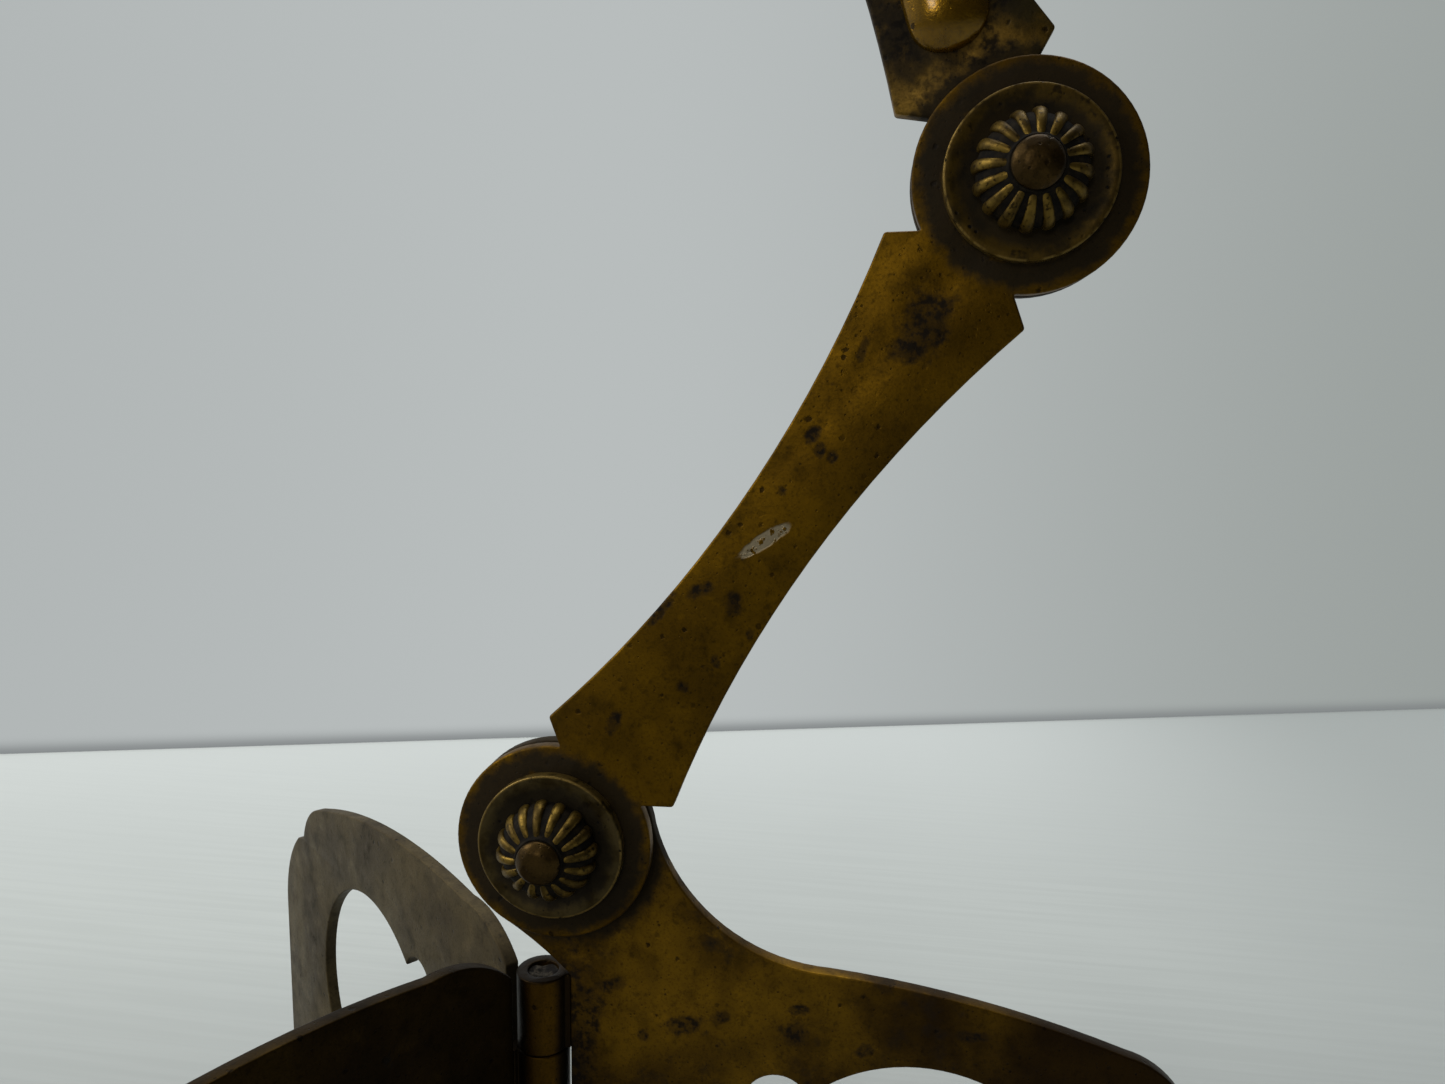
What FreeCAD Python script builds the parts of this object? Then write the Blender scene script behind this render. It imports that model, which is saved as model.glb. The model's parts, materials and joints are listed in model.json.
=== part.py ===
"""Folding brass stand that carries a small two-pan balance.

Millimetres, +Z up.  The origin is on the stand's hinge axis, at table level.  Three pierced
leaves turn on one upright pin.  The main leaf rises into a neck, and two waisted links and a
hanger fold on riveted joints above it.  The balance hangs from a post on the hanger.
"""
import FreeCAD, Part
import math
import os
import re
import Sketcher

V = FreeCAD.Vector
UP = V(0, 0, 1)

SIZES = {
    # plates and their joints
    "sheet_thick": (2.0, "thickness of every plate"),
    "joint_gap": (0.5, "space between two plates at a joint, filled by a friction washer"),
    "face_play": (0.02, "play between flat faces that turn on each other"),
    "running_play": (0.05, "radial play of a pin in a hole"),
    "head_radius": (12.5, "round head of every link"),
    # the upright hinge
    "knuckle_len": (10.4, "pitch of the six hinge knuckles"),
    "knuckle_gap": (0.15, "space between two knuckles"),
    "barrel_radius": (3.45, "outside of the hinge barrel"),
    "pin_radius": (2.0, "hinge pin"),
    "pin_recess": (1.0, "how far the pin stops below the top of the barrel"),
    "edge_x": (3.95, "hinge axis to the inner edge of a leaf"),
    "leaf_gap": (0.3, "space between two leaves when folded flat"),
    # side leaves
    "leaf_reach": (90.0, "hinge axis to the outer edge of a side leaf"),
    "leaf_crest": (4.9, "highest point of a side leaf above the barrel"),
    "crest_curve": (130.0, "curve of a side leaf's top edge"),
    "crest_shoulder": (5.0, "highest point down to the shoulder of a side leaf"),
    "crest_in": (12.0, "inner edge to the inner end of the top edge"),
    "crest_ease": (0.4, "fall of the top edge at its inner end, and of the corner below it"),
    "corner_curve": (14.0, "curve of a side leaf's inner top corner"),
    "rear_turn": (140.0, "direction of the rear leaf, turned from +X towards +Y"),
    "front_turn": (-122.0, "direction of the front leaf"),
    # main leaf
    "wing_reach": (92.0, "hinge axis to the outer edge of the main leaf"),
    "wing_crest": (3.0, "end of the neck's curve above the barrel"),
    "wing_start_x": (37.4, "end of the neck's curve from the hinge axis"),
    "wing_curve": (148.0, "curve of the wing's top edge"),
    "wing_shoulder": (7.2, "end of the neck's curve down to the wing's shoulder"),
    "neck_x": (2.55, "hinge axis to the lower joint, sideways"),
    "neck_rise": (18.8, "top of the barrel to the lower joint"),
    "neck_radius": (23.5, "curve between the head and the wing"),
    "neck_right": (8.0, "where the neck leaves the head on the right, above level"),
    "neck_left": (50.0, "where the neck leaves the head on the left, below level"),
    "heel_x": (8.9, "neck's lower left corner, from the leaf's inner edge"),
    "heel_z": (6.85, "neck's lower left corner above the barrel"),
    "heel_curve": (48.0, "curve between that corner and the barrel"),
    # stepped tip shared by the three leaves
    "tip_in": (18.5, "outer edge back to the start of the shoulder"),
    "tip_step": (9.0, "outer edge back to the step"),
    "shoulder_drop": (8.0, "height of the shoulder"),
    "shoulder_radius": (10.5, "curve of the shoulder"),
    "lobe_drop": (14.5, "height of the rounded corner below the step"),
    "lobe_curve": (20.0, "curve of the rounded corner"),
    "step_half": (1.5, "half the length of the step's slope"),
    "step_fall": (0.8, "fall of the step's slope"),
    "lobe_fall": (1.0, "fall of the rounded corner's outer end"),
    # pierced opening of the leaves
    "hole_x": (49.3, "hinge axis to the centre of the round opening"),
    "hole_z": (33.2, "height of the centre of the round opening"),
    "hole_radius": (20.9, "round opening"),
    "ear_radius": (4.2, "small round ear of the opening"),
    "ear_reach": (22.8, "centre of the opening to the centre of an ear"),
    "ear_turn": (37.0, "angle of each ear above and below the hinge side"),
    # links
    "link_length": (96.0, "joint to joint"),
    "lower_lean": (34.16, "lean of the lower link to the right"),
    "upper_lean": (-27.0, "lean of the upper link, to the left"),
    "waist_half": (5.29, "half the width of a link at its waist"),
    "shoulder_half": (9.45, "half the width of a link at its shoulders"),
    "shoulder_along": (13.23, "joint to the shoulder's corner, along the link"),
    "notch_angle": (29.5, "where the shoulder meets the round head"),
    # raised panel on the upper link
    "panel_margin": (3.39, "edge of the link to the raised panel"),
    "panel_start": (19.0, "joint to the end of the panel's straight sides"),
    "panel_end": (5.2, "curve of the panel's ends"),
    "panel_height": (1.9, "panel above the link"),
    "panel_round": (1.3, "rounding of the panel's edge"),
    # rosette of a joint
    "dish_radius": (9.25, "dished washer"),
    "dish_height": (1.5, "dished washer, at its rim"),
    "dish_floor": (0.9, "dished washer, inside its rim"),
    "dish_rim": (0.9, "width of the washer's rim"),
    "dish_bevel": (0.4, "bevel of the washer's outer edge"),
    "dish_slope": (0.7, "width of the slope inside the washer's rim"),
    "dome_radius": (6.6, "fluted dome"),
    "dome_height": (4.7, "fluted dome above the washer's floor"),
    "dome_undercut": (0.5, "fluted dome's foot, in from its side"),
    "dome_skirt": (0.8, "height of the dome's foot"),
    "dome_side": (2.0, "height of the dome's upright side"),
    "dome_lean": (0.1, "lean of the dome's side, inwards"),
    "dome_crown": (0.5, "flat crown round the rivet's cap"),
    "flute_count": (16, "ribs on the dome"),
    "rib_width": (0.95, "width of a rib"),
    "flute_floor": (0.5, "dome left under the flutes"),
    "rivet_radius": (2.0, "rivet's shank"),
    "cap_radius": (2.75, "rivet's front cap"),
    "cap_height": (1.3, "rivet's front cap"),
    "tail_radius": (3.6, "rivet's peened tail"),
    "tail_height": (1.5, "rivet's peened tail"),
    "back_washer_radius": (6.0, "washer under the rivet's tail"),
    "back_washer_thick": (0.8, "washer under the rivet's tail"),
    "friction_radius": (9.0, "washer between two plates"),
    # hanger and post
    "hanger_lean": (-20.0, "lean of the hanger, to the left"),
    "hanger_length": (30.0, "upper joint to the post"),
    "hanger_end": (6.0, "round end of the hanger"),
    "hanger_root": (8.0, "half the width of the hanger's blade at the joint"),
    "hanger_tip": (4.6, "half the width of the hanger's blade at the post"),
    "hanger_curve": (60.0, "curve of the hanger's sides"),
    "post_radius": (2.0, "post"),
    "post_reach": (32.0, "hinge plane to the middle of the balance"),
    "collar_radius": (3.4, "collars of the post"),
    "collar_thick": (1.2, "collars of the post"),
    "spigot_radius": (1.2, "post inside its finial"),
    "spigot_length": (2.5, "post inside its finial"),
    "finial_radius": (3.3, "ball on the post's end"),
    "finial_neck": (2.2, "neck between the ball and its collar"),
    # fork that carries the beam
    "eye_radius": (4.4, "fork's eye round the post"),
    "eye_thick": (2.4, "fork's eye along the post"),
    "eye_play": (0.2, "eye to each collar"),
    "fork_width": (3.4, "fork's strip"),
    "fork_inside": (4.2, "between the fork's cheeks"),
    "cheek_thick": (1.2, "each cheek of the fork"),
    "bridge_drop": (8.0, "post to the top of the fork's bridge"),
    "bridge_thick": (2.0, "fork's bridge"),
    "fork_drop": (26.0, "post to the beam's pivot"),
    "bearing_radius": (3.0, "round end of each cheek"),
    # beam
    "beam_half": (52.0, "pivot to each end hole"),
    "beam_thick": (1.6, "beam"),
    "beam_waist": (3.6, "half the depth of the beam at its middle"),
    "beam_tip": (1.4, "half the depth of the beam at its ends"),
    "beam_hub": (5.0, "round boss of the beam"),
    "beam_lug": (2.8, "round end of the beam"),
    "beam_fall": (1.0, "pivot above the line of the end holes"),
    "end_hole": (1.35, "hole in each end of the beam"),
    "pivot_radius": (1.2, "beam's pivot"),
    "pivot_overhang": (0.4, "pivot past each cheek"),
    "pointer_half": (1.1, "half the pointer's width at its root"),
    "pointer_tip": (0.3, "half the pointer's width at its tip"),
    "pointer_clear": (1.6, "pointer's tip below the fork's bridge"),
    # bows and pans
    "ring_radius": (3.0, "ring of a bow, to the middle of its wire"),
    "ring_wire": (0.7, "wire of the ring"),
    "bow_wire": (0.8, "wire of the bow"),
    "pan_radius": (18.5, "pan, to the middle of its rolled rim"),
    "pan_rim": (1.1, "rolled rim of a pan"),
    "pan_depth": (7.0, "pan below its rim"),
    "pan_wall": (0.9, "pan's wall"),
    "pan_foot": (9.0, "flat middle of a pan"),
    "pan_drop": (50.0, "end hole to the pan's rim"),
}

KNUCKLES = 6
LEAVES = KNUCKLES // 2
LEFT, RIGHT = -1, 1

doc = FreeCAD.newDocument("folding_balance")
sheet = doc.addObject("Spreadsheet::Sheet", "dims")
for row, (alias, (value, note)) in enumerate(SIZES.items(), start=1):
    sheet.set(f"A{row}", alias)
    sheet.set(f"B{row}", str(value))
    sheet.set(f"C{row}", note)
    sheet.setAlias(f"B{row}", alias)
doc.recompute()


def bound(text):
    """Turn an expression on plain size names into one on the sheet's cells."""
    return re.sub(r"[a-z_]+", lambda word: "dims." + word[0] if word[0] in SIZES else word[0], text)


def number(text):
    """Value of an expression on size names."""
    return float(sheet.evalExpression(bound(text)))


HINGE_TOP = f"knuckle_len * {KNUCKLES}"
NECK_Z = f"{HINGE_TOP} + neck_rise"
LINK_FRONT = "sheet_thick * 3 / 2 + joint_gap"          # front face of a front plate, towards -Y
ELBOW_X = "neck_x + link_length * sin(lower_lean * 1 deg)"
ELBOW_Z = f"{NECK_Z} + link_length * cos(lower_lean * 1 deg)"
CREST_X = f"{ELBOW_X} + link_length * sin(upper_lean * 1 deg)"
CREST_Z = f"{ELBOW_Z} + link_length * cos(upper_lean * 1 deg)"
POST_X = f"{CREST_X} + hanger_length * sin(hanger_lean * 1 deg)"
POST_Z = f"{CREST_Z} + hanger_length * cos(hanger_lean * 1 deg)"
PIVOT_Z = f"{POST_Z} - fork_drop"
END_Z = f"{PIVOT_Z} - beam_fall"


# ---- helpers -------------------------------------------------------------------------------

def new_body(label):
    body = doc.addObject("PartDesign::Body", label)
    body.Label = label
    return body


def set_place(obj, x="0", y="0", z="0", axis=UP, angle="0"):
    """Bind an object's Placement to sizes."""
    obj.Placement = FreeCAD.Placement(V(0, 0, 0), FreeCAD.Rotation(axis, number(angle)))
    for name, text in (("x", x), ("y", y), ("z", z)):
        obj.setExpression("Placement.Base." + name, bound(text))
    if number(angle):
        obj.setExpression("Placement.Rotation.Angle", bound(angle))


def new_sketch(body, name, plane="XZ_Plane", offset="0"):
    """Sketch on one of the body's own origin planes, moved along the plane's normal."""
    sketch = body.newObject("Sketcher::SketchObject", f"{body.Label}_{name}")
    support = [item for item in body.Origin.OriginFeatures if item.Role == plane][0]
    sketch.AttachmentSupport = (support, [""])
    sketch.MapMode = "FlatFace"
    sketch.setExpression("AttachmentOffset.Base.z", bound(offset))
    return sketch


def pin_point(sketch, item, position, x, y):
    """Hold one point of a sketch at a place given by two expressions."""
    for kind, text in (("DistanceX", x), ("DistanceY", y)):
        constraint = Sketcher.Constraint(kind, -1, 1, item, position, number(text))
        index = sketch.addConstraint(constraint)
        sketch.setExpression(f"Constraints[{index}]", bound(text))


def circle(sketch, x, y, radius):
    shape = Part.Circle(V(number(x), number(y), 0), UP, number(radius))
    item = sketch.addGeometry(shape, False)
    pin_point(sketch, item, 3, x, y)
    index = sketch.addConstraint(Sketcher.Constraint("Radius", item, number(radius)))
    sketch.setExpression(f"Constraints[{index}]", bound(radius))


def arc_centre(start, end, radius, turn, major):
    """Centre of an arc that leaves start, turning left (1) or right (-1)."""
    chord = end - start
    rise = math.sqrt(max(radius ** 2 - chord.Length ** 2 / 4, 0.0))
    side = V(-chord.y, chord.x, 0).normalize()
    return (start + end) / 2 + side * rise * turn * (-1 if major else 1)


def outline(sketch, corners):
    """Closed outline.  A corner is (x, y) before a straight edge, or (x, y, radius, turn, major)."""
    spots = [V(number(corner[0]), number(corner[1]), 0) for corner in corners]
    ends = []
    for index, corner in enumerate(corners):
        start = spots[index]
        end = spots[(index + 1) % len(spots)]
        if len(corner) == 2:
            item = sketch.addGeometry(Part.LineSegment(start, end), False)
            ends.append((item, 1, 2))
            continue
        radius, turn, major = corner[2:]
        centre = arc_centre(start, end, number(radius), turn, major)
        first, last = (start, end) if turn > 0 else (end, start)
        angles = [math.atan2(spot.y - centre.y, spot.x - centre.x) for spot in (first, last)]
        base = Part.Circle(centre, UP, (start - centre).Length)
        item = sketch.addGeometry(Part.ArcOfCircle(base, angles[0], angles[1]), False)
        ends.append((item, 1, 2) if turn > 0 else (item, 2, 1))
        radius_index = sketch.addConstraint(Sketcher.Constraint("Radius", item, base.Radius))
        sketch.setExpression(f"Constraints[{radius_index}]", bound(radius))
    for index, (item, start, _) in enumerate(ends):
        before, _, before_end = ends[index - 1]
        sketch.addConstraint(Sketcher.Constraint("Coincident", before, before_end, item, start))
        pin_point(sketch, item, start, corners[index][0], corners[index][1])


def pad(body, sketch, length):
    feature = body.newObject("PartDesign::Pad", sketch.Name + "_pad")
    feature.Profile = sketch
    feature.setExpression("Length", bound(length))
    return feature


def cut_through(body, sketch):
    """Pocket right through, both ways, checked to remove something."""
    doc.recompute()
    before = body.Shape.Volume
    feature = body.newObject("PartDesign::Pocket", sketch.Name + "_cut")
    feature.Profile = sketch
    feature.Type = "ThroughAll"
    feature.SideType = "Symmetric"
    doc.recompute()
    if body.Shape.Volume >= before:
        raise RuntimeError(feature.Name + " cuts nothing")
    return feature


def cut_down(body, sketch, depth):
    """Pocket of a given depth against the sketch's normal, checked to remove something."""
    doc.recompute()
    before = body.Shape.Volume
    feature = body.newObject("PartDesign::Pocket", sketch.Name + "_cut")
    feature.Profile = sketch
    feature.setExpression("Length", bound(depth))
    doc.recompute()
    if body.Shape.Volume >= before:
        raise RuntimeError(feature.Name + " cuts nothing")
    return feature


def turned(label, corners):
    """Body turned about its own Z axis from corners given as (radius, height)."""
    body = new_body(label)
    sketch = new_sketch(body, "profile")
    outline(sketch, corners)
    feature = body.newObject("PartDesign::Revolution", label + "_turn")
    feature.Profile = sketch
    feature.ReferenceAxis = (sketch, ["V_Axis"])
    feature.Angle = 360
    return body


def polar_copies(body, feature, count):
    """Repeat a feature round the body's Z axis."""
    pattern = body.newObject("PartDesign::PolarPattern", feature.Name + "_round")
    pattern.Originals = [feature]
    axis = [item for item in body.Origin.OriginFeatures if item.Role == "Z_Axis"][0]
    pattern.Axis = (axis, [""])
    pattern.Angle = 360
    pattern.setExpression("Occurrences", bound(count))
    body.Tip = pattern
    return pattern


def axis_arc(corner, next_corner):
    """Radius of the arc through two corners of a turned profile, centred on its axis."""
    (r1, z1), (r2, z2) = corner, next_corner
    centre = f"((({z2}) ^ 2 - ({z1}) ^ 2 + ({r2}) ^ 2 - ({r1}) ^ 2) / (2 * (({z2}) - ({z1}))))"
    return f"sqrt(({r1}) ^ 2 + (({z1}) - {centre}) ^ 2)"


def facing_front(obj, x, z, y="0"):
    """Place a turned piece with its own +Z towards the front, -Y."""
    set_place(obj, x, y, z, V(1, 0, 0), "90")


# ---- leaves and hinge ----------------------------------------------------------------------

def tip_corners(reach, shoulder_z):
    """Outer end of a leaf, from the table up to the start of its top edge."""
    step_z = f"{shoulder_z} - shoulder_drop"
    return [
        (reach, "0"),
        (reach, f"{step_z} - lobe_fall - lobe_drop", "lobe_curve", 1, False),
        (f"{reach} - tip_step + step_half", f"{step_z} - step_fall"),
        (f"{reach} - tip_step - step_half", step_z, "shoulder_radius", 1, False),
    ]


def pierce(body):
    """Round opening with two small ears on its hinge side."""
    for name, turn in (("opening", None), ("upper_ear", 1), ("lower_ear", -1)):
        sketch = new_sketch(body, name)
        if turn is None:
            circle(sketch, "hole_x", "hole_z", "hole_radius")
        else:
            circle(sketch, "hole_x - ear_reach * cos(ear_turn * 1 deg)",
                   f"hole_z + {turn} * ear_reach * sin(ear_turn * 1 deg)", "ear_radius")
        cut_through(body, sketch)


def knuckle(label, place, near_face, far_face, bore, turn="0"):
    """Length of tube at one place of the barrel, with a tangent strip up to its leaf's edge."""
    body = new_body(label)
    bottom = f"knuckle_len * {place}"
    top = f"{bottom} + knuckle_len - knuckle_gap"
    barrel = new_sketch(body, "barrel", "XY_Plane", bottom)
    circle(barrel, "0", "0", "barrel_radius")
    pad(body, barrel, "knuckle_len - knuckle_gap")
    strip = new_sketch(body, "strip", "XZ_Plane", f"-({far_face})")
    outline(strip, [("pin_radius / 2", bottom), ("edge_x", bottom),
                    ("edge_x", top), ("pin_radius / 2", top)])
    pad(body, strip, f"{far_face} - ({near_face})")
    hole = new_sketch(body, "pin_hole", "XY_Plane", bottom)
    circle(hole, "0", "0", bore)
    cut_through(body, hole)
    set_place(body, angle=turn)
    return body


def side_leaf(name, place, side, turn):
    """Leaf that folds on to the main leaf's back (side 1) or front (side -1), and its knuckles."""
    body = new_body(name + "_leaf")
    near, far = "sheet_thick / 2 + leaf_gap", "sheet_thick * 3 / 2 + leaf_gap"
    if side < 0:
        near, far = f"-({far})", f"-({near})"
    shoulder_z = f"{HINGE_TOP} + leaf_crest - crest_shoulder"
    crest_z = f"{HINGE_TOP} + leaf_crest"
    sketch = new_sketch(body, "outline", "XZ_Plane", f"-({far})")
    outline(sketch, [
        ("edge_x", "0"),
        *tip_corners("leaf_reach", shoulder_z),
        ("leaf_reach - tip_in", shoulder_z, "crest_curve", 1, False),
        ("edge_x + crest_in", f"{crest_z} - crest_ease", "corner_curve", 1, False),
        ("edge_x", f"{HINGE_TOP} - crest_ease"),
    ])
    pad(body, sketch, "sheet_thick")
    pierce(body)
    set_place(body, angle=turn)
    bore = "pin_radius + running_play"
    return [body, knuckle(name + "_knuckle_lower", place, near, far, bore, turn),
            knuckle(name + "_knuckle_upper", place + LEAVES, near, far, bore, turn)]


def main_leaf():
    """Leaf with the neck and the lower joint's head, centred on the hinge axis, and its knuckles."""
    body = new_body("main_leaf")
    half = "sheet_thick / 2"
    shoulder_z = f"{HINGE_TOP} + wing_crest - wing_shoulder"
    sketch = new_sketch(body, "outline", "XZ_Plane", f"-({half})")
    outline(sketch, [
        ("edge_x", "0"),
        *tip_corners("wing_reach", shoulder_z),
        ("wing_reach - tip_in", shoulder_z, "wing_curve", 1, False),
        ("wing_start_x", f"{HINGE_TOP} + wing_crest", "neck_radius", -1, False),
        ("neck_x + head_radius * cos(neck_right * 1 deg)",
         f"{NECK_Z} + head_radius * sin(neck_right * 1 deg)", "head_radius", 1, True),
        ("neck_x - head_radius * cos(neck_left * 1 deg)",
         f"{NECK_Z} - head_radius * sin(neck_left * 1 deg)"),
        ("edge_x - heel_x", f"{HINGE_TOP} + heel_z", "heel_curve", -1, False),
        ("edge_x", f"{HINGE_TOP} - knuckle_gap"),
    ])
    pad(body, sketch, "sheet_thick")
    pierce(body)
    rivet_hole = new_sketch(body, "rivet_hole")
    circle(rivet_hole, "neck_x", NECK_Z, "rivet_radius + running_play")
    cut_through(body, rivet_hole)
    faces = (f"-{half}", half, "pin_radius")
    return [body, knuckle("main_knuckle_lower", LEAVES - 1, *faces),
            knuckle("main_knuckle_upper", KNUCKLES - 1, *faces)]


def hinge_pin():
    pin = doc.addObject("Part::Cylinder", "hinge_pin")
    pin.setExpression("Radius", bound("pin_radius"))
    pin.setExpression("Height", bound(f"{HINGE_TOP} - pin_recess"))
    set_place(pin)
    return pin


# ---- links and hanger ----------------------------------------------------------------------

def link(label, front_face, x, z, lean):
    """Waisted link between two round heads, standing on its lower joint."""
    body = new_body(label)
    low_z, high_z = "shoulder_along", "link_length - shoulder_along"
    notch_x = "head_radius * sin(notch_angle * 1 deg)"
    notch_z = "head_radius * cos(notch_angle * 1 deg)"
    span = "(link_length / 2 - shoulder_along)"
    inset = "(shoulder_half - waist_half)"
    waist = f"({span} ^ 2 + {inset} ^ 2) / (2 * {inset})"
    sketch = new_sketch(body, "outline", "XZ_Plane", f"{front_face} - sheet_thick")
    outline(sketch, [
        (notch_x, notch_z),
        ("shoulder_half", low_z, waist, -1, False),
        ("shoulder_half", high_z),
        (notch_x, f"link_length - {notch_z}", "head_radius", 1, True),
        (f"-{notch_x}", f"link_length - {notch_z}"),
        ("-shoulder_half", high_z, waist, -1, False),
        ("-shoulder_half", low_z),
        (f"-{notch_x}", notch_z, "head_radius", 1, True),
    ])
    pad(body, sketch, "sheet_thick")
    holes = new_sketch(body, "rivet_holes")
    for height in ("0", "link_length"):
        circle(holes, "0", height, "rivet_radius + running_play")
    cut_through(body, holes)
    set_place(body, x, "0", z, V(0, 1, 0), lean)
    return body


def raise_panel(body, front_face):
    """Rounded raised panel that follows the link's waist."""
    span = "(link_length / 2 - panel_start)"
    full = "(link_length / 2 - shoulder_along)"
    inset = f"((shoulder_half - waist_half) * {span} ^ 2 / {full} ^ 2)"
    half = f"(waist_half - panel_margin + {inset})"
    waist = f"({span} ^ 2 + {inset} ^ 2) / (2 * {inset})"
    low_z, high_z = "panel_start", "link_length - panel_start"
    sketch = new_sketch(body, "panel", "XZ_Plane", front_face)
    outline(sketch, [
        (half, low_z, waist, -1, False),
        (half, high_z, "panel_end", 1, False),
        (f"-{half}", high_z, waist, -1, False),
        (f"-{half}", low_z, "panel_end", 1, False),
    ])
    panel = pad(body, sketch, "panel_height")
    doc.recompute()
    top = -number(front_face) - number("panel_height")
    edges = [f"Edge{index + 1}" for index, edge in enumerate(panel.Shape.Edges)
             if all(abs(vertex.Y - top) < 1e-4 for vertex in edge.Vertexes)]
    fillet = body.newObject("PartDesign::Fillet", body.Label + "_round")
    fillet.Base = (panel, edges)
    fillet.setExpression("Radius", bound("panel_round"))
    body.Tip = fillet


def hanger():
    """Short blade from the upper joint to the post."""
    body = new_body("hanger")
    front = f"{LINK_FRONT} - sheet_thick"
    for name, height, radius in (("head", "0", "head_radius"),
                                 ("end", "hanger_length", "hanger_end")):
        sketch = new_sketch(body, name, "XZ_Plane", front)
        circle(sketch, "0", height, radius)
        pad(body, sketch, "sheet_thick")
    blade = new_sketch(body, "blade", "XZ_Plane", front)
    outline(blade, [
        ("hanger_root", "head_radius / 2", "hanger_curve", -1, False),
        ("hanger_tip", "hanger_length"),
        ("-hanger_tip", "hanger_length", "hanger_curve", -1, False),
        ("-hanger_root", "head_radius / 2"),
    ])
    pad(body, blade, "sheet_thick")
    holes = new_sketch(body, "holes")
    circle(holes, "0", "0", "rivet_radius + running_play")
    circle(holes, "0", "hanger_length", "post_radius")
    cut_through(body, holes)
    set_place(body, CREST_X, "0", CREST_Z, V(0, 1, 0), "hanger_lean")
    return body


# ---- riveted joint -------------------------------------------------------------------------

def dished_washer(name, x, z):
    """Washer with a raised rim, seated on the front plate."""
    hole = "rivet_radius + running_play"
    body = turned("dished_washer_" + name, [
        (hole, "0"),
        ("dish_radius", "0"),
        ("dish_radius", "dish_height - dish_bevel"),
        ("dish_radius - dish_bevel", "dish_height"),
        ("dish_radius - dish_rim", "dish_height"),
        ("dish_radius - dish_rim - dish_slope", "dish_floor"),
        (hole, "dish_floor"),
    ])
    facing_front(body, x, z, f"-({LINK_FRONT})")
    return body


def fluted_dome(name, x, z):
    """Domed rosette whose ribs stand between tapering flutes."""
    hole = "rivet_radius + running_play"
    side, crown = ("dome_radius - dome_lean", "dome_side"), ("cap_radius + dome_crown", "dome_height")
    body = turned("fluted_dome_" + name, [
        (hole, "0"),
        ("dome_radius - dome_undercut", "0"),
        ("dome_radius", "dome_skirt"),
        (*side, axis_arc(side, crown), 1, False),
        crown,
        (hole, "dome_height"),
    ])
    flute = new_sketch(body, "flute", "XY_Plane", "dome_height + flute_floor")
    inner, outer = "cap_radius + dome_crown", "dome_radius * 2"
    half = "({0}) * tan(180 deg / flute_count) - rib_width / 2"
    outline(flute, [
        (inner, f"-({half.format(inner)})"), (outer, f"-({half.format(outer)})"),
        (outer, half.format(outer)), (inner, half.format(inner)),
    ])
    polar_copies(body, cut_down(body, flute, "dome_height"), "flute_count")
    facing_front(body, x, z, f"-({LINK_FRONT}) - dish_floor")
    return body


def rivet(name, x, z):
    """Rivet with a domed cap in front and a peened tail behind."""
    cap_z = "dish_floor + dome_height"
    back = f"-({LINK_FRONT}) - sheet_thick / 2 - back_washer_thick - 2 * face_play"
    tail, tail_edge = ("0", f"{back} - tail_height"), ("tail_radius", f"{back} - tail_height / 4")
    cap_edge, cap = ("cap_radius", f"{cap_z} + cap_height / 4"), ("0", f"{cap_z} + cap_height")
    body = turned("rivet_" + name, [
        (*tail, axis_arc(tail, tail_edge), 1, False),
        tail_edge,
        ("tail_radius", back),
        ("rivet_radius", back),
        ("rivet_radius", cap_z),
        ("cap_radius", cap_z),
        (*cap_edge, axis_arc(cap_edge, cap), 1, False),
        cap,
    ])
    facing_front(body, x, z, f"-({LINK_FRONT})")
    return body


def flat_washer(label, radius, thick, x, z, y):
    """Plain washer whose front face is at y."""
    body = turned(label, [
        ("rivet_radius + running_play", f"-({thick})"),
        (radius, f"-({thick})"),
        (radius, "0"),
        ("rivet_radius + running_play", "0"),
    ])
    facing_front(body, x, z, y)
    return body


def riveted_joint(name, x, z):
    """Pieces of one joint: the first three turn with the front plate, the others do not."""
    return [
        dished_washer(name, x, z),
        fluted_dome(name, x, z),
        rivet(name, x, z),
        flat_washer("friction_washer_" + name, "friction_radius", "joint_gap - face_play",
                    x, z, "-sheet_thick / 2 - joint_gap + face_play"),
        flat_washer("back_washer_" + name, "back_washer_radius", "back_washer_thick",
                    x, z, "sheet_thick / 2"),
    ]


# ---- balance -------------------------------------------------------------------------------

COLLAR_BACK = "eye_thick / 2 + eye_play + collar_thick"


def post():
    """Turned post through the hanger, with a groove for the fork's eye."""
    start = f"{LINK_FRONT} - sheet_thick"
    groove_back = "post_reach - eye_thick / 2 - eye_play"
    groove_front = "post_reach + eye_thick / 2 + eye_play"
    body = turned("post", [
        ("0", start),
        ("post_radius", start),
        ("post_radius", LINK_FRONT),
        ("collar_radius", LINK_FRONT),
        ("collar_radius", f"{LINK_FRONT} + collar_thick"),
        ("post_radius", f"{LINK_FRONT} + collar_thick"),
        ("post_radius", f"post_reach - ({COLLAR_BACK})"),
        ("collar_radius", f"post_reach - ({COLLAR_BACK})"),
        ("collar_radius", groove_back),
        ("post_radius", groove_back),
        ("post_radius", groove_front),
        ("spigot_radius", groove_front),
        ("spigot_radius", f"{groove_front} + spigot_length"),
        ("0", f"{groove_front} + spigot_length"),
    ])
    facing_front(body, POST_X, POST_Z)
    return body


def finial():
    """Ball nut that keeps the fork on its post."""
    back = "post_reach + eye_thick / 2 + eye_play"
    ball = ("finial_neck", f"{back} + collar_thick")
    ball_top = f"{ball[1]} + finial_radius + sqrt(finial_radius ^ 2 - finial_neck ^ 2)"
    body = turned("post_finial", [
        ("spigot_radius", back),
        ("collar_radius", back),
        ("collar_radius", ball[1]),
        (*ball, "finial_radius", 1, False),
        ("0", ball_top),
        ("0", f"{back} + spigot_length"),
        ("spigot_radius", f"{back} + spigot_length"),
    ])
    facing_front(body, POST_X, POST_Z)
    return body


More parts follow.
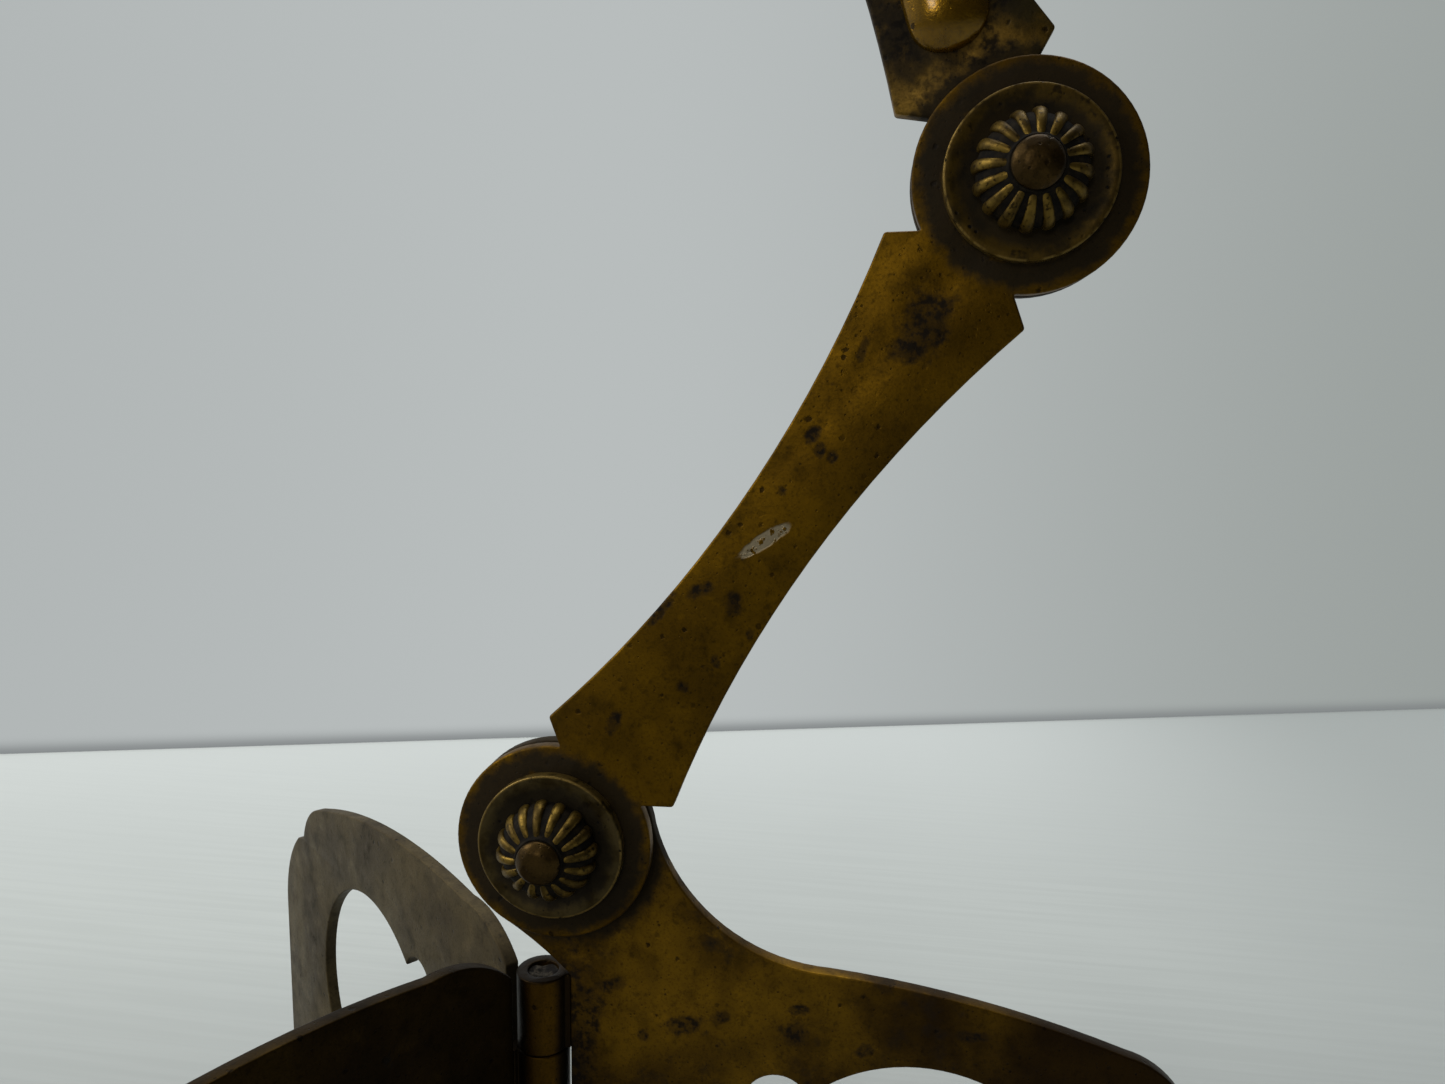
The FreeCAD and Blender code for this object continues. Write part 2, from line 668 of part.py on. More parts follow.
def primitive(kind, name, sizes, x="0", y="0", z="0", axis=UP, angle="0"):
    """Part primitive with its sizes and its place bound to the sheet."""
    obj = doc.addObject(kind, name)
    for key, text in sizes.items():
        obj.setExpression(key, bound(text))
    set_place(obj, x, y, z, axis, angle)
    return obj


def fused(name, pieces):
    result = doc.addObject("Part::MultiFuse", name)
    result.Shapes = pieces
    result.Refine = True
    return result


def cross_rod(name, radius, length, z):
    """Cylinder along Y, centred on the middle plane of the balance."""
    return primitive("Part::Cylinder", name, {"Radius": radius, "Height": length},
                     y=f"({length}) / 2", z=z, axis=V(1, 0, 0), angle="90")


def fork():
    """Eye, bridge and two cheeks that straddle the beam."""
    outside = "(fork_inside + 2 * cheek_thick)"
    bridge_foot = "(bridge_drop + bridge_thick)"
    pieces = [
        cross_rod("fork_eye", "eye_radius", "eye_thick", "0"),
        primitive("Part::Box", "fork_stem",
                  {"Length": "fork_width", "Width": "eye_thick", "Height": "bridge_drop"},
                  "-fork_width / 2", "-eye_thick / 2", "-bridge_drop"),
        primitive("Part::Box", "fork_bridge",
                  {"Length": "fork_width", "Width": outside, "Height": "bridge_thick"},
                  "-fork_width / 2", f"-{outside} / 2", f"-{bridge_foot}"),
        cross_rod("fork_ends", "bearing_radius", outside, "-fork_drop"),
    ]
    for name, y in (("front", f"-{outside} / 2"), ("back", "fork_inside / 2")):
        pieces.append(primitive(
            "Part::Box", f"fork_{name}_cheek",
            {"Length": "fork_width", "Width": "cheek_thick", "Height": "fork_drop - bridge_drop"},
            "-fork_width / 2", y, "-fork_drop"))
    space = primitive("Part::Box", "fork_space",
                      {"Length": "4 * bearing_radius", "Width": "fork_inside",
                       "Height": f"fork_drop + bearing_radius - {bridge_foot}"},
                      "-2 * bearing_radius", "-fork_inside / 2", "-fork_drop - bearing_radius")
    holes = [
        cross_rod("fork_post_hole", "post_radius + running_play", "2 * eye_thick", "0"),
        cross_rod("fork_pivot_hole", "pivot_radius + running_play", f"2 * {outside}", "-fork_drop"),
    ]
    cut = doc.addObject("Part::Cut", "fork")
    cut.Base = fused("fork_solid", pieces)
    cut.Tool = fused("fork_cuts", [space, *holes])
    set_place(cut, POST_X, "-post_reach", POST_Z)
    return cut


def beam():
    """Tapered beam with a pointer, hung at its middle."""
    body = new_body("beam")
    front = "-beam_thick / 2"
    bar = new_sketch(body, "bar", "XZ_Plane", front)
    outline(bar, [
        ("beam_half", "-beam_tip"), ("beam_half", "beam_tip"), ("0", "beam_waist"),
        ("-beam_half", "beam_tip"), ("-beam_half", "-beam_tip"), ("0", "-beam_waist"),
    ])
    pad(body, bar, "beam_thick")
    for name, x, z, radius in (("hub", "0", "beam_fall", "beam_hub"),
                               ("left_lug", "-beam_half", "0", "beam_lug"),
                               ("right_lug", "beam_half", "0", "beam_lug")):
        boss = new_sketch(body, name, "XZ_Plane", front)
        circle(boss, x, z, radius)
        pad(body, boss, "beam_thick")
    pointer = new_sketch(body, "pointer", "XZ_Plane", front)
    tip_z = "beam_fall + fork_drop - bridge_drop - bridge_thick - pointer_clear"
    outline(pointer, [("-pointer_half", "beam_hub / 2"), ("pointer_half", "beam_hub / 2"),
                      ("pointer_tip", tip_z), ("-pointer_tip", tip_z)])
    pad(body, pointer, "beam_thick")
    holes = new_sketch(body, "holes")
    circle(holes, "0", "beam_fall", "pivot_radius")
    circle(holes, "-beam_half", "0", "end_hole")
    circle(holes, "beam_half", "0", "end_hole")
    cut_through(body, holes)
    set_place(body, POST_X, "-post_reach", END_Z)
    return body


def beam_pivot():
    length = "(fork_inside + 2 * cheek_thick + 2 * pivot_overhang)"
    pivot = primitive("Part::Cylinder", "beam_pivot", {"Radius": "pivot_radius", "Height": length},
                      POST_X, f"-post_reach + {length} / 2", PIVOT_Z, V(1, 0, 0), "90")
    return pivot


def bow(name, side):
    """Ring through the beam's end hole, and an arched wire down to the pan's rim."""
    arch_z = "-2 * ring_radius - pan_radius"
    pieces = [
        primitive("Part::Torus", f"bow_ring_{name}",
                  {"Radius1": "ring_radius", "Radius2": "ring_wire"},
                  z="-ring_radius", axis=V(0, 1, 0), angle="90"),
        primitive("Part::Torus", f"bow_arch_{name}",
                  {"Radius1": "pan_radius", "Radius2": "bow_wire", "Angle3": "180 deg"},
                  z=arch_z, axis=V(1, 1, 1), angle="120"),
    ]
    for end, y in (("front", "-pan_radius"), ("back", "pan_radius")):
        pieces.append(primitive(
            "Part::Cylinder", f"bow_leg_{name}_{end}",
            {"Radius": "bow_wire", "Height": f"pan_drop + ({arch_z})"}, y=y, z="-pan_drop"))
    wire = fused("bow_" + name, pieces)
    set_place(wire, f"{POST_X} + {side} * beam_half", "-post_reach", END_Z)
    return wire


def pan(name, side):
    """Shallow turned pan with a rolled rim."""
    floor_z = "pan_rim - pan_depth"
    foot, lip = ("pan_foot", floor_z), ("pan_radius + pan_rim / 2", "-pan_rim * 0.8")
    inner_lip = ("pan_radius - pan_wall", "-pan_rim * 0.5")
    inner_foot = ("pan_foot - pan_wall / 3", f"{floor_z} + pan_wall")
    body = turned("pan_" + name, [
        ("0", floor_z),
        (*foot, axis_arc(foot, lip), 1, False),
        (*lip, "pan_rim", 1, False),
        ("pan_radius - pan_wall / 2", "pan_rim * 0.8"),
        (*inner_lip, axis_arc(inner_lip, inner_foot), -1, False),
        inner_foot,
        ("0", f"{floor_z} + pan_wall"),
    ])
    set_place(body, f"{POST_X} + {side} * beam_half", "-post_reach", f"{END_Z} - pan_drop")
    return body


# ---- assembly and export -------------------------------------------------------------------

upper_link = link("upper_link", "sheet_thick / 2", ELBOW_X, ELBOW_Z, "upper_lean")
raise_panel(upper_link, "sheet_thick / 2")
parts = [
    *main_leaf(),
    *side_leaf("rear", 0, 1, "rear_turn"),
    *side_leaf("front", 1, -1, "front_turn"),
    hinge_pin(),
    link("lower_link", LINK_FRONT, "neck_x", NECK_Z, "lower_lean"),
    upper_link,
    hanger(),
    *riveted_joint("lower", "neck_x", NECK_Z),
    *riveted_joint("middle", ELBOW_X, ELBOW_Z),
    *riveted_joint("upper", CREST_X, CREST_Z),
    post(),
    finial(),
    fork(),
    beam(),
    beam_pivot(),
]
for name, side in (("left", LEFT), ("right", RIGHT)):
    parts.append(bow(name, side))
    parts.append(pan(name, side))
doc.recompute()

for obj in doc.Objects:
    if "Invalid" in obj.State or "Error" in obj.State:
        raise RuntimeError(f"{obj.Name} failed: {obj.State}")
for piece in parts:
    if piece.Shape.isNull() or not piece.Shape.isValid() or not piece.Shape.Solids:
        raise RuntimeError(piece.Label + " has no valid solid")

os.makedirs("parts", exist_ok=True)
for piece in parts:
    piece.Shape.exportStep(f"parts/{piece.Label}.step")
print(f"{len(parts)} pieces")
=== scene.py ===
# %% [markdown]
# # A folding brass stand that carries a small balance
#
# The real thing is old sheet brass, about 2 mm thick. Three pierced leaves turn on one upright
# hinge, and two waisted links and a short hanger fold above them on riveted joints. A post on the
# hanger carries a fork, a beam and two little pans.
#
# The CAD model already fixes every size and every joint. This lesson loads it as a frame that
# never moves, then gives each piece the soft edges, the cast ribs and the old, stained surface
# that a drawing leaves out. Lengths are in metres, as Blender counts them, so `MM` turns a size
# in millimetres into one that Blender understands.

import json
import math

import bmesh
import bpy
from mathutils import Matrix, Vector


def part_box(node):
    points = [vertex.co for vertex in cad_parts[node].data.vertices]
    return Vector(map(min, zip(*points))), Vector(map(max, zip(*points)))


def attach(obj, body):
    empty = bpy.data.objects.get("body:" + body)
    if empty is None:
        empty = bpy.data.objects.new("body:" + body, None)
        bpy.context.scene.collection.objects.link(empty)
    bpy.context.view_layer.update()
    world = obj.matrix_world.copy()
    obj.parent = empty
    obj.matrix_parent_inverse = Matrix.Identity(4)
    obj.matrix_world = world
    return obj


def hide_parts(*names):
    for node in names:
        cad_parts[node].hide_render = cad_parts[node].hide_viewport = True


MM = 0.001
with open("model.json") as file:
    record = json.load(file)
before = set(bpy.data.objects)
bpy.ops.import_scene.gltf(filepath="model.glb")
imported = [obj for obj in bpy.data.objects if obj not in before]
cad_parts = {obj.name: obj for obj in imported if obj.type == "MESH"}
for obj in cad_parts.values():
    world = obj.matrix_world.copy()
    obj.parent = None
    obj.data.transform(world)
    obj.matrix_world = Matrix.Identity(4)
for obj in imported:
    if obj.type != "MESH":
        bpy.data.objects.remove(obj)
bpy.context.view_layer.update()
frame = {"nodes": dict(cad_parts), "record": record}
nodes = frame["nodes"]
bodies = frame["record"]["behaviour"]["bodies"]
body_of = {node: body for body, members in bodies.items() for node in members}
slot_of = {part["node"]: part["material_slot"] for part in frame["record"]["subparts"]}

# %% [markdown]
# ## The camera
#
# A camera is a place, a direction and a lens. This one stands low and close, a little to the
# right, and looks at the two lower joints. Its three axes are worked out from a turn to the
# left, a tilt down and a slight roll, which says more to a reader than a table of sixteen numbers.

# %% Place the camera
def placed(name, data):
    """New object in the scene."""
    thing = bpy.data.objects.new(name, data)
    bpy.context.scene.collection.objects.link(thing)
    return thing


def camera_matrix(place, turn, tilt, roll):
    """Matrix of a camera that looks along +Y before it is turned, tilted and rolled, in degrees."""
    turn, tilt, roll = (math.radians(angle) for angle in (turn, tilt, roll))
    ahead = Vector((math.sin(turn) * math.cos(tilt), math.cos(turn) * math.cos(tilt), -math.sin(tilt)))
    level = Vector((math.cos(turn), -math.sin(turn), 0))
    down = ahead.cross(level)
    right = math.cos(roll) * level + math.sin(roll) * down
    up = math.sin(roll) * level - math.cos(roll) * down
    columns = Matrix((right, up, -ahead)).transposed().to_4x4()
    return Matrix.Translation(place) @ columns


camera = placed("camera", bpy.data.cameras.new("camera"))
camera.data.sensor_width = 36
camera.data.lens = 24.88
camera.data.clip_start = 0.01
camera.matrix_world = camera_matrix(place=Vector((39.79, -118.71, 134.60)) * MM,
                                    turn=-8.01, tilt=7.225, roll=-0.7065)
bpy.context.scene.camera = camera
bpy.context.scene.view_settings.view_transform = "Standard"
print("camera at", [round(value, 3) for value in camera.location])

# %% [markdown]
# ## A way to write shader maths
#
# Materials and Geometry Nodes are graphs, but a graph is hard to read in a script. `Wire` wraps
# one output socket and overloads `+ - * /`, so `1 - mask` adds the right Math node by itself.
# `Graph.node` makes every other node: it sets the node's settings first, then its sockets.

# %% Wires and graphs
class Wire:
    """An output socket that can be used in sums."""

    def __init__(self, graph, socket):
        self.graph, self.socket = graph, socket

    def sum(self, operation, first, second):
        return self.graph.node("ShaderNodeMath", {"operation": operation}, {0: first, 1: second})

    def __add__(self, other):
        return self.sum("ADD", self, other)

    def __sub__(self, other):
        return self.sum("SUBTRACT", self, other)

    def __rsub__(self, other):
        return self.sum("SUBTRACT", other, self)

    def __mul__(self, other):
        return self.sum("MULTIPLY", self, other)

    def __truediv__(self, other):
        return self.sum("DIVIDE", self, other)

    def __pow__(self, other):
        return self.sum("POWER", self, other)

    __radd__, __rmul__ = __add__, __mul__


class Graph:
    """A node tree that is filled from the script."""

    def __init__(self, tree):
        self.tree = tree

    def node(self, kind, settings=None, inputs=None, output=0):
        made = self.tree.nodes.new(kind)
        for key, value in (settings or {}).items():
            setattr(made, key, value)
        for key, value in (inputs or {}).items():
            if isinstance(value, Wire):
                self.tree.links.new(value.socket, made.inputs[key])
            else:
                made.inputs[key].default_value = value
        return Wire(self, made.outputs[output]) if made.outputs else None

    def vector(self, operation, first, second, output=0):
        """Vector Math on two values. A dot product's number is output 1."""
        return self.node("ShaderNodeVectorMath", {"operation": operation}, {0: first, 1: second},
                         output)


# %% [markdown]
# ## Reusable patterns
#
# Every finish here is built from the same few questions. How far is this point from a joint? Is
# it inside a listed patch? How uneven is the surface here? Each question becomes a small method that
# returns a mask from 0 to 1. All of them read Object coordinates, which are the row's own metres,
# so a mark stays where it is put when a joint turns.

# %% The finish maker
class Finish(Graph):
    """A material that is being mixed."""

    def __init__(self, name):
        self.material = bpy.data.materials.new(name)
        self.material.use_nodes = True
        super().__init__(self.material.node_tree)
        self.tree.nodes.clear()
        self.place = self.node("ShaderNodeTexCoord", output=3)

    def noise(self, size_mm, detail, seed=0.0, stretch=(1, 1, 1)):
        """Cloudy pattern whose patches are about size_mm across."""
        where = self.node("ShaderNodeMapping", None, {"Vector": self.place, "Scale": stretch,
                                                      "Location": (seed, seed * 0.7, -seed)})
        return self.node("ShaderNodeTexNoise", None, {"Vector": where, "Scale": 1000 / size_mm,
                                                      "Detail": detail, "Roughness": 0.55})

    def step(self, value, low, high):
        """Smooth mask that rises from 0 at low to 1 at high, or falls if high is lower."""
        settings = {"interpolation_type": "SMOOTHSTEP"}
        if high > low:
            return self.node("ShaderNodeMapRange", settings, {0: value, 1: low, 2: high})
        return 1 - self.node("ShaderNodeMapRange", settings, {0: value, 1: high, 2: low})

    def along(self, axis):
        """Millimetres along an axis through the origin."""
        return self.vector("DOT_PRODUCT", self.place, Vector(axis) * 1000, 1)

    def apart(self, centre):
        """Distance in millimetres from a joint's axis, which runs along Y."""
        flat = self.vector("MULTIPLY", self.vector("SUBTRACT", self.place, centre), (1, 0, 1))
        return self.node("ShaderNodeVectorMath", {"operation": "LENGTH"}, {0: flat}, 1) * 1000

    def soft_oval(self, x, z, long_mm, wide_mm, lean, ragged, soft=0.35, torn=2.2):
        """Soft oval mask on an upright plate, long_mm by wide_mm, leaning by an angle from upright."""
        gap = self.vector("SUBTRACT", self.place, (x * MM, 0, z * MM))
        turn = math.radians(lean)
        upwards, across = (math.sin(turn), 0, math.cos(turn)), (math.cos(turn), 0, -math.sin(turn))
        u, v = (self.vector("DOT_PRODUCT", gap, axis, 1) for axis in (upwards, across))
        u, v = u * (2000 / long_mm), v * (2000 / wide_mm)
        return self.step((u * u + v * v) ** 0.5 + (ragged - 0.5) * torn, 1 + soft, 1 - soft)

    def blend(self, mask, under, over):
        """Colour that is `under` where the mask is 0 and `over` where it is 1."""
        return self.node("ShaderNodeMix", {"data_type": "RGBA"}, {0: mask, 6: under, 7: over}, 2)

    def absolute(self, value):
        return self.node("ShaderNodeMath", {"operation": "ABSOLUTE"}, {0: value})

    def most(self, *masks):
        total = masks[0]
        for mask in masks[1:]:
            total = total.sum("MAXIMUM", total, mask)
        return total

    def pits(self, size_mm, share, ragged, seed=0.0):
        """Small uneven pits, in about that share of the cells of a pattern."""
        where = self.node("ShaderNodeMapping", None, {"Vector": self.place,
                                                      "Location": (seed, -seed, seed)})
        cells = self.node("ShaderNodeTexVoronoi", None, {"Vector": where, "Scale": 1000 / size_mm})
        cell_tone = Wire(self, cells.socket.node.outputs[1])
        pick = self.node("ShaderNodeSeparateColor", None, {0: cell_tone})
        return self.step(cells + (ragged - 0.5) * 0.9, 0.30, 0.10) * self.step(pick, 1 - share, 1)

    def done(self, colour, rough, metal, bump, depth_mm, coat=0.0):
        """Join everything to the shader and return the finished material."""
        normal = self.node("ShaderNodeBump", None, {"Height": bump, "Distance": depth_mm * MM,
                                                    "Strength": 1.0})
        shader = self.node("ShaderNodeBsdfPrincipled", None, {
            "Base Color": colour, "Roughness": rough, "Metallic": metal, "Normal": normal,
            "Specular IOR Level": 0.14, "Coat Weight": coat, "Coat Roughness": 0.13})
        self.node("ShaderNodeOutputMaterial", None, {"Surface": shader})
        return self.material


def shade(red, green, blue):
    """Colour given as it looks on a screen, 0 to 255, turned into the shader's own scale."""
    def channel(value):
        value /= 255
        return value / 12.92 if value <= 0.04045 else ((value + 0.055) / 1.055) ** 2.4
    return (channel(red), channel(green), channel(blue), 1)


print("brass at its brightest", [round(value, 3) for value in shade(190, 150, 62)[:3]])

# %% [markdown]
# ## Board, backdrop and light
#
# The stand is on a pale board in front of a pale wall, in soft daylight from the left. A real
# wall would hide the object from a camera behind it, so here the board ends where the wall would
# start, and the wall is the world's own colour, painted darker to the right as painted shade. Only
# the camera sees that colour. What lights the brass is a plain room, bright to the left and dim to
# the right, and three soft lamps. The board's own colour carries painted light: it is brighter
# towards the wall, and painted darker to the right and near the camera. The dark front also
# throws less light up at the brass.

# %% The board and its far edge
def stage_plane(name, corners, material):
    mesh = bpy.data.meshes.new(name)
    mesh.from_pydata([Vector(corner) * MM for corner in corners], [], [(0, 1, 2, 3)])
    mesh.materials.append(material)
    placed(name, mesh)


def board_finish():
    look = Finish("painted_board")
    grain = look.noise(2.2, 3, stretch=(0.03, 1.0, 1.0))
    cloud = look.noise(90, 2)
    pale = look.blend(look.step(grain, 0.35, 0.65), shade(193, 197, 192), shade(199, 203, 198))
    colour = look.blend(look.step(cloud, 0.3, 0.75) * 0.5, pale, shade(192, 196, 192))
    far = look.along((-0.1, 1, 0))
    # Painted light: the board grows brighter towards the wall.
    colour = look.blend(look.step(far, 60, 330), colour, shade(222, 226, 222))
    # Painted shade: the board is darker near the camera, which also cuts the light it throws up at the
    # brass.
    colour = look.blend(look.step(far, 130, -40) * 0.9, colour, shade(146, 149, 147))
    # Painted shade: the board is darker to the right, away from the daylight.
    colour = look.blend(look.step(look.along((1, 0, 0)), 60, 260) * 0.7, colour, shade(172, 177, 173))
    return look.done(colour, 0.7, 0.0, grain, 0.04)


EDGE_HEIGHT = 9


def edge_finish():
    """Soft shade where the board meets the wall, fading out upwards."""
    look = Finish("board_edge")
    fade = look.step(look.along((0, 0, 1)), EDGE_HEIGHT, 0) ** 2.2
    clear = look.node("ShaderNodeBsdfTransparent")
    dark = look.node("ShaderNodeEmission", None, {"Color": shade(128, 132, 133)})
    both = look.node("ShaderNodeMixShader", None, {0: fade * 0.85, 1: clear, 2: dark})
    look.node("ShaderNodeOutputMaterial", None, {"Surface": both})
    return look.material


wall_start, wall_end = Vector((-2000, -275.5, 0)), Vector((3000, 1157.5, 0))
wall_way = (wall_end - wall_start).normalized()
nearer, higher = Vector((wall_way.y, -wall_way.x, 0)) * 4000, Vector((0, 0, EDGE_HEIGHT))
stage_plane("board", [wall_start + nearer, wall_end + nearer, wall_end, wall_start], board_finish())
stage_plane("board_far_edge", [wall_start, wall_end, wall_end + higher, wall_start + higher],
            edge_finish())

# %% The wall's colour and the room's light
def room():
    world = bpy.data.worlds.new("room")
    bpy.context.scene.world = world
    world.use_nodes = True
    graph = Graph(world.node_tree)
    graph.tree.nodes.clear()
    way = graph.node("ShaderNodeTexCoord", output=0)

    def facing(direction):
        return graph.vector("DOT_PRODUCT", way, Vector(direction).normalized(), 1)

    def ramp(value, low, high):
        return graph.node("ShaderNodeMapRange", {"interpolation_type": "SMOOTHSTEP"},
                          {0: value, 1: low, 2: high})

    def mix(mask, under, over):
        return graph.node("ShaderNodeMix", {"data_type": "RGBA"}, {0: mask, 6: under, 7: over}, 2)

    # The wall's colour is painted darker to the right, standing for the daylight's fall from the left:
    # painted shade on the backdrop.
    wall = mix(ramp(facing((1, 0.1, 0)), -0.15, 0.75), shade(184, 189, 189), shade(150, 156, 153))
    wall = mix(ramp(facing((-1, 0.2, 0)), 0.45, 0.95), wall, shade(176, 181, 181))
    dim, bright = (0.020, 0.020, 0.022, 1), (0.50, 0.53, 0.56, 1)
    light = mix(ramp(facing((-0.75, 0.25, 0.55)), -0.35, 0.95), dim, bright)
    light = mix(ramp(facing((0.15, 1, 0.1)), 0.2, 1.0) * 0.7, light, (0.42, 0.44, 0.45, 1))
    seen = graph.node("ShaderNodeLightPath")
    back = graph.node("ShaderNodeBackground", None, {"Color": mix(seen, light, wall)})
    graph.node("ShaderNodeOutputWorld", None, {"Surface": back})


def lamp(name, place, target, size, power, colour):
    data = bpy.data.lights.new(name, "AREA")
    data.size, data.energy, data.color = size, power, colour
    thing = placed(name, data)
    thing.location = Vector(place)
    thing.rotation_euler = (Vector(target) - Vector(place)).to_track_quat("-Z", "Y").to_euler()


room()
lamp("window", (-0.75, -0.28, 0.62), (0.02, 0, 0.14), 0.55, 4.2, (1.0, 0.985, 0.96))
lamp("door", (-0.148, -0.952, 0.432), (0.04, 0, 0.17), 0.17, 0.8, (1.0, 0.97, 0.94))
lamp("ceiling", (-0.05, 0.40, 1.30), (0.05, 0.05, 0.0), 1.1, 8.0, (0.97, 0.99, 1.0))
print("three soft lamps and a room")

# %% [markdown]
# ## Old brass
#
# Brass that has stood for a century is seldom golden. Handling keeps the edges and the high
# spots bright, while the flats turn olive and then brown, and the corners fill with dark brown
# dirt. `old_brass` layers these from the bottom up: two tones of patina in clouds, thin dark
# stains, rings of dirt and painted shade round the joints, listed dark patches (mostly stains;
# on the main leaf one is painted shade beside the hinge barrel), and small pits that also dent
# the surface. A few pieces add a darkening from one place to another, painted shade down the
# hinge barrel's sides with old oil on its top, or pale scars. Its arguments are the knobs that
# differ from piece to piece.

# %% The old brass finish
JOINTS = {name: (sum(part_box("rivet_" + name), Vector()) / 2) for name in ("lower", "middle", "upper")}
# Dark colour of dirt, also used as painted shade in the rings round the joints.
DIRT_AND_SHADE = shade(29, 23, 11)
# Near-black of soot, stains and pits, also used for the painted shade beside the hinge barrel.
SOOT_AND_SHADE = shade(16, 11, 6)
# Dark colour of old oil on the barrel's top, also used as painted shade on its sides.
OIL_AND_SIDE_SHADE = shade(22, 17, 10)
SCAR = shade(150, 138, 112)
SCAR_STARTS, SCAR_FULL = -2.4, -2.8  # millimetres along Y: only the lower link's front is so near
BARREL_MIDDLE = 0.5  # millimetres along X


def old_brass(name, tone, deep, dirt=0.5, dirt_and_shade_rings=(), dark_patches=(), scars=(), pitting=0.5, metal=0.82,
              rough=0.46, seed=0.0, fade_to_dark=None, stretch=(1, 1, 1), barrel_top_oil_and_shade=None, coat=0.0):
    """Brown brass. Tones are screen colours of the clean metal and of its darker clouds."""
    look = Finish(name)
    cloud = look.noise(13, 5, seed, stretch)
    mottle = look.noise(3.4, 5, seed + 3, stretch)
    speck = look.noise(0.9, 4, seed + 7)
    grain = look.noise(0.28, 3, seed + 11)
    ragged = look.noise(1.9, 5, seed + 5)
    colour = look.blend(look.step(cloud, 0.36, 0.66), shade(*tone), shade(*deep))
    for pattern, start, full, share, screen, factor in (
            (mottle, 0.50, 0.74, 0.55, deep, 0.55), (mottle, 0.44, 0.28, 0.5, tone, 1.18),
            (speck, 0.54, 0.76, 0.5, deep, 0.5), (grain, 0.48, 0.72, 0.35, deep, 0.45)):
        colour = look.blend(look.step(pattern, start, full) * share, colour,
                            shade(*(value * factor for value in screen)))
    grime_and_shade = look.step(cloud * 0.6 + ragged * 0.4, 0.66 - dirt * 0.22, 0.80 - dirt * 0.22) * 0.8
    # Each ring darkens the plate just outside a washer or an overlapping head: dirt that gathers there,
    # and painted shade where those parts meet.
    for centre, inner, outer in dirt_and_shade_rings:
        reach = look.apart(centre) + (ragged - 0.5) * 3.4
        ring = look.step(reach, outer, (inner + outer) / 2)
        grime_and_shade = look.most(grime_and_shade, ring * look.step(reach, inner - 1.2, inner + 0.2))
    colour = look.blend(grime_and_shade * 0.92, colour, DIRT_AND_SHADE)
    # Darkens the colour gradually from a start point towards an end point.
    if fade_to_dark:
        start, end, screen, share = fade_to_dark
        where = look.vector("SUBTRACT", look.place, Vector(start) * MM)
        span = (Vector(end) - Vector(start)) * MM
        far = look.vector("DOT_PRODUCT", where, span / span.length_squared, 1)
        colour = look.blend(look.step(far + (cloud - 0.5) * 0.9, 0.0, 1.0) * share, colour,
                            shade(*screen))
    # The tube's sides, away from its middle line, are darkened: painted shade on the round barrel. The
    # top rim is darkened as old oil.
    if barrel_top_oil_and_shade:
        wide = look.absolute(look.along((1, 0, 0)) - BARREL_MIDDLE) + (ragged - 0.5) * 0.9
        rim = look.step(look.along((0, 0, 1)), barrel_top_oil_and_shade - 0.5, barrel_top_oil_and_shade)
        colour = look.blend(look.most(look.step(wide, 1.5, 2.5), rim) * 0.85, colour, OIL_AND_SIDE_SHADE)
    spots = look.step(ragged, 0.66, 0.74) * look.step(cloud, 0.44, 0.56) * 0.55
    crumbs = 0.5 + look.step(speck, 0.42, 0.60) * 0.42
    for soft_oval in dark_patches:
        spots = look.most(spots, look.soft_oval(*soft_oval, ragged) * crumbs)
    colour = look.blend(spots, colour, SOOT_AND_SHADE)
    dents = look.pits(1.3, 0.30 * pitting, speck, seed)
    fine = look.pits(0.5, 0.45 * pitting, speck, seed + 2)
    colour = look.blend(dents * 0.75, colour, SOOT_AND_SHADE)
    colour = look.blend(fine * 0.6, colour, SOOT_AND_SHADE)
    wear = rough + (mottle - 0.5) * 0.30 + (grain - 0.5) * 0.14 + spots * 0.25 + grime_and_shade * 0.22
    shine = metal - grime_and_shade * (metal * 0.75) - spots * (metal * 0.7)
    bump = (grain * 0.25 + mottle * 0.9 + speck * 0.35 - dents * 1.1 - fine * 0.6 - spots * 0.5
            + grime_and_shade * 0.25)
    if scars:
        marks = [look.soft_oval(*scar, ragged, 0.15, 0.8) * look.step(speck, 0.36, 0.46) for scar in scars]
        bright = look.most(*marks) * look.step(look.along((0, 1, 0)), SCAR_STARTS, SCAR_FULL)
        colour = look.blend(bright * 0.9, colour, SCAR)
        bump = bump - bright * 0.9
    return look.done(colour, wear, shine, bump, 0.07, coat)


def rubbed_brass(name, tone, dark, seed=0.0, share=0.5):
    """Edges that hands have kept bright, with darker patina left between. The links' pale edge tone is
    also a painted highlight.
    """
    look = Finish(name)
    patch = look.noise(4.0, 4, seed)
    grain = look.noise(0.35, 3, seed + 4)
    mask = look.step(patch * 0.75 + grain * 0.25, 0.62 - share * 0.2, 0.42 - share * 0.2 + 0.04)
    colour = look.blend(mask, shade(*dark), shade(*tone))
    return look.done(colour, 0.30 + grain * 0.25, 0.85, grain + patch * 0.5, 0.04)


print("joints at", {name: [round(v / MM, 1) for v in place] for name, place in JOINTS.items()})

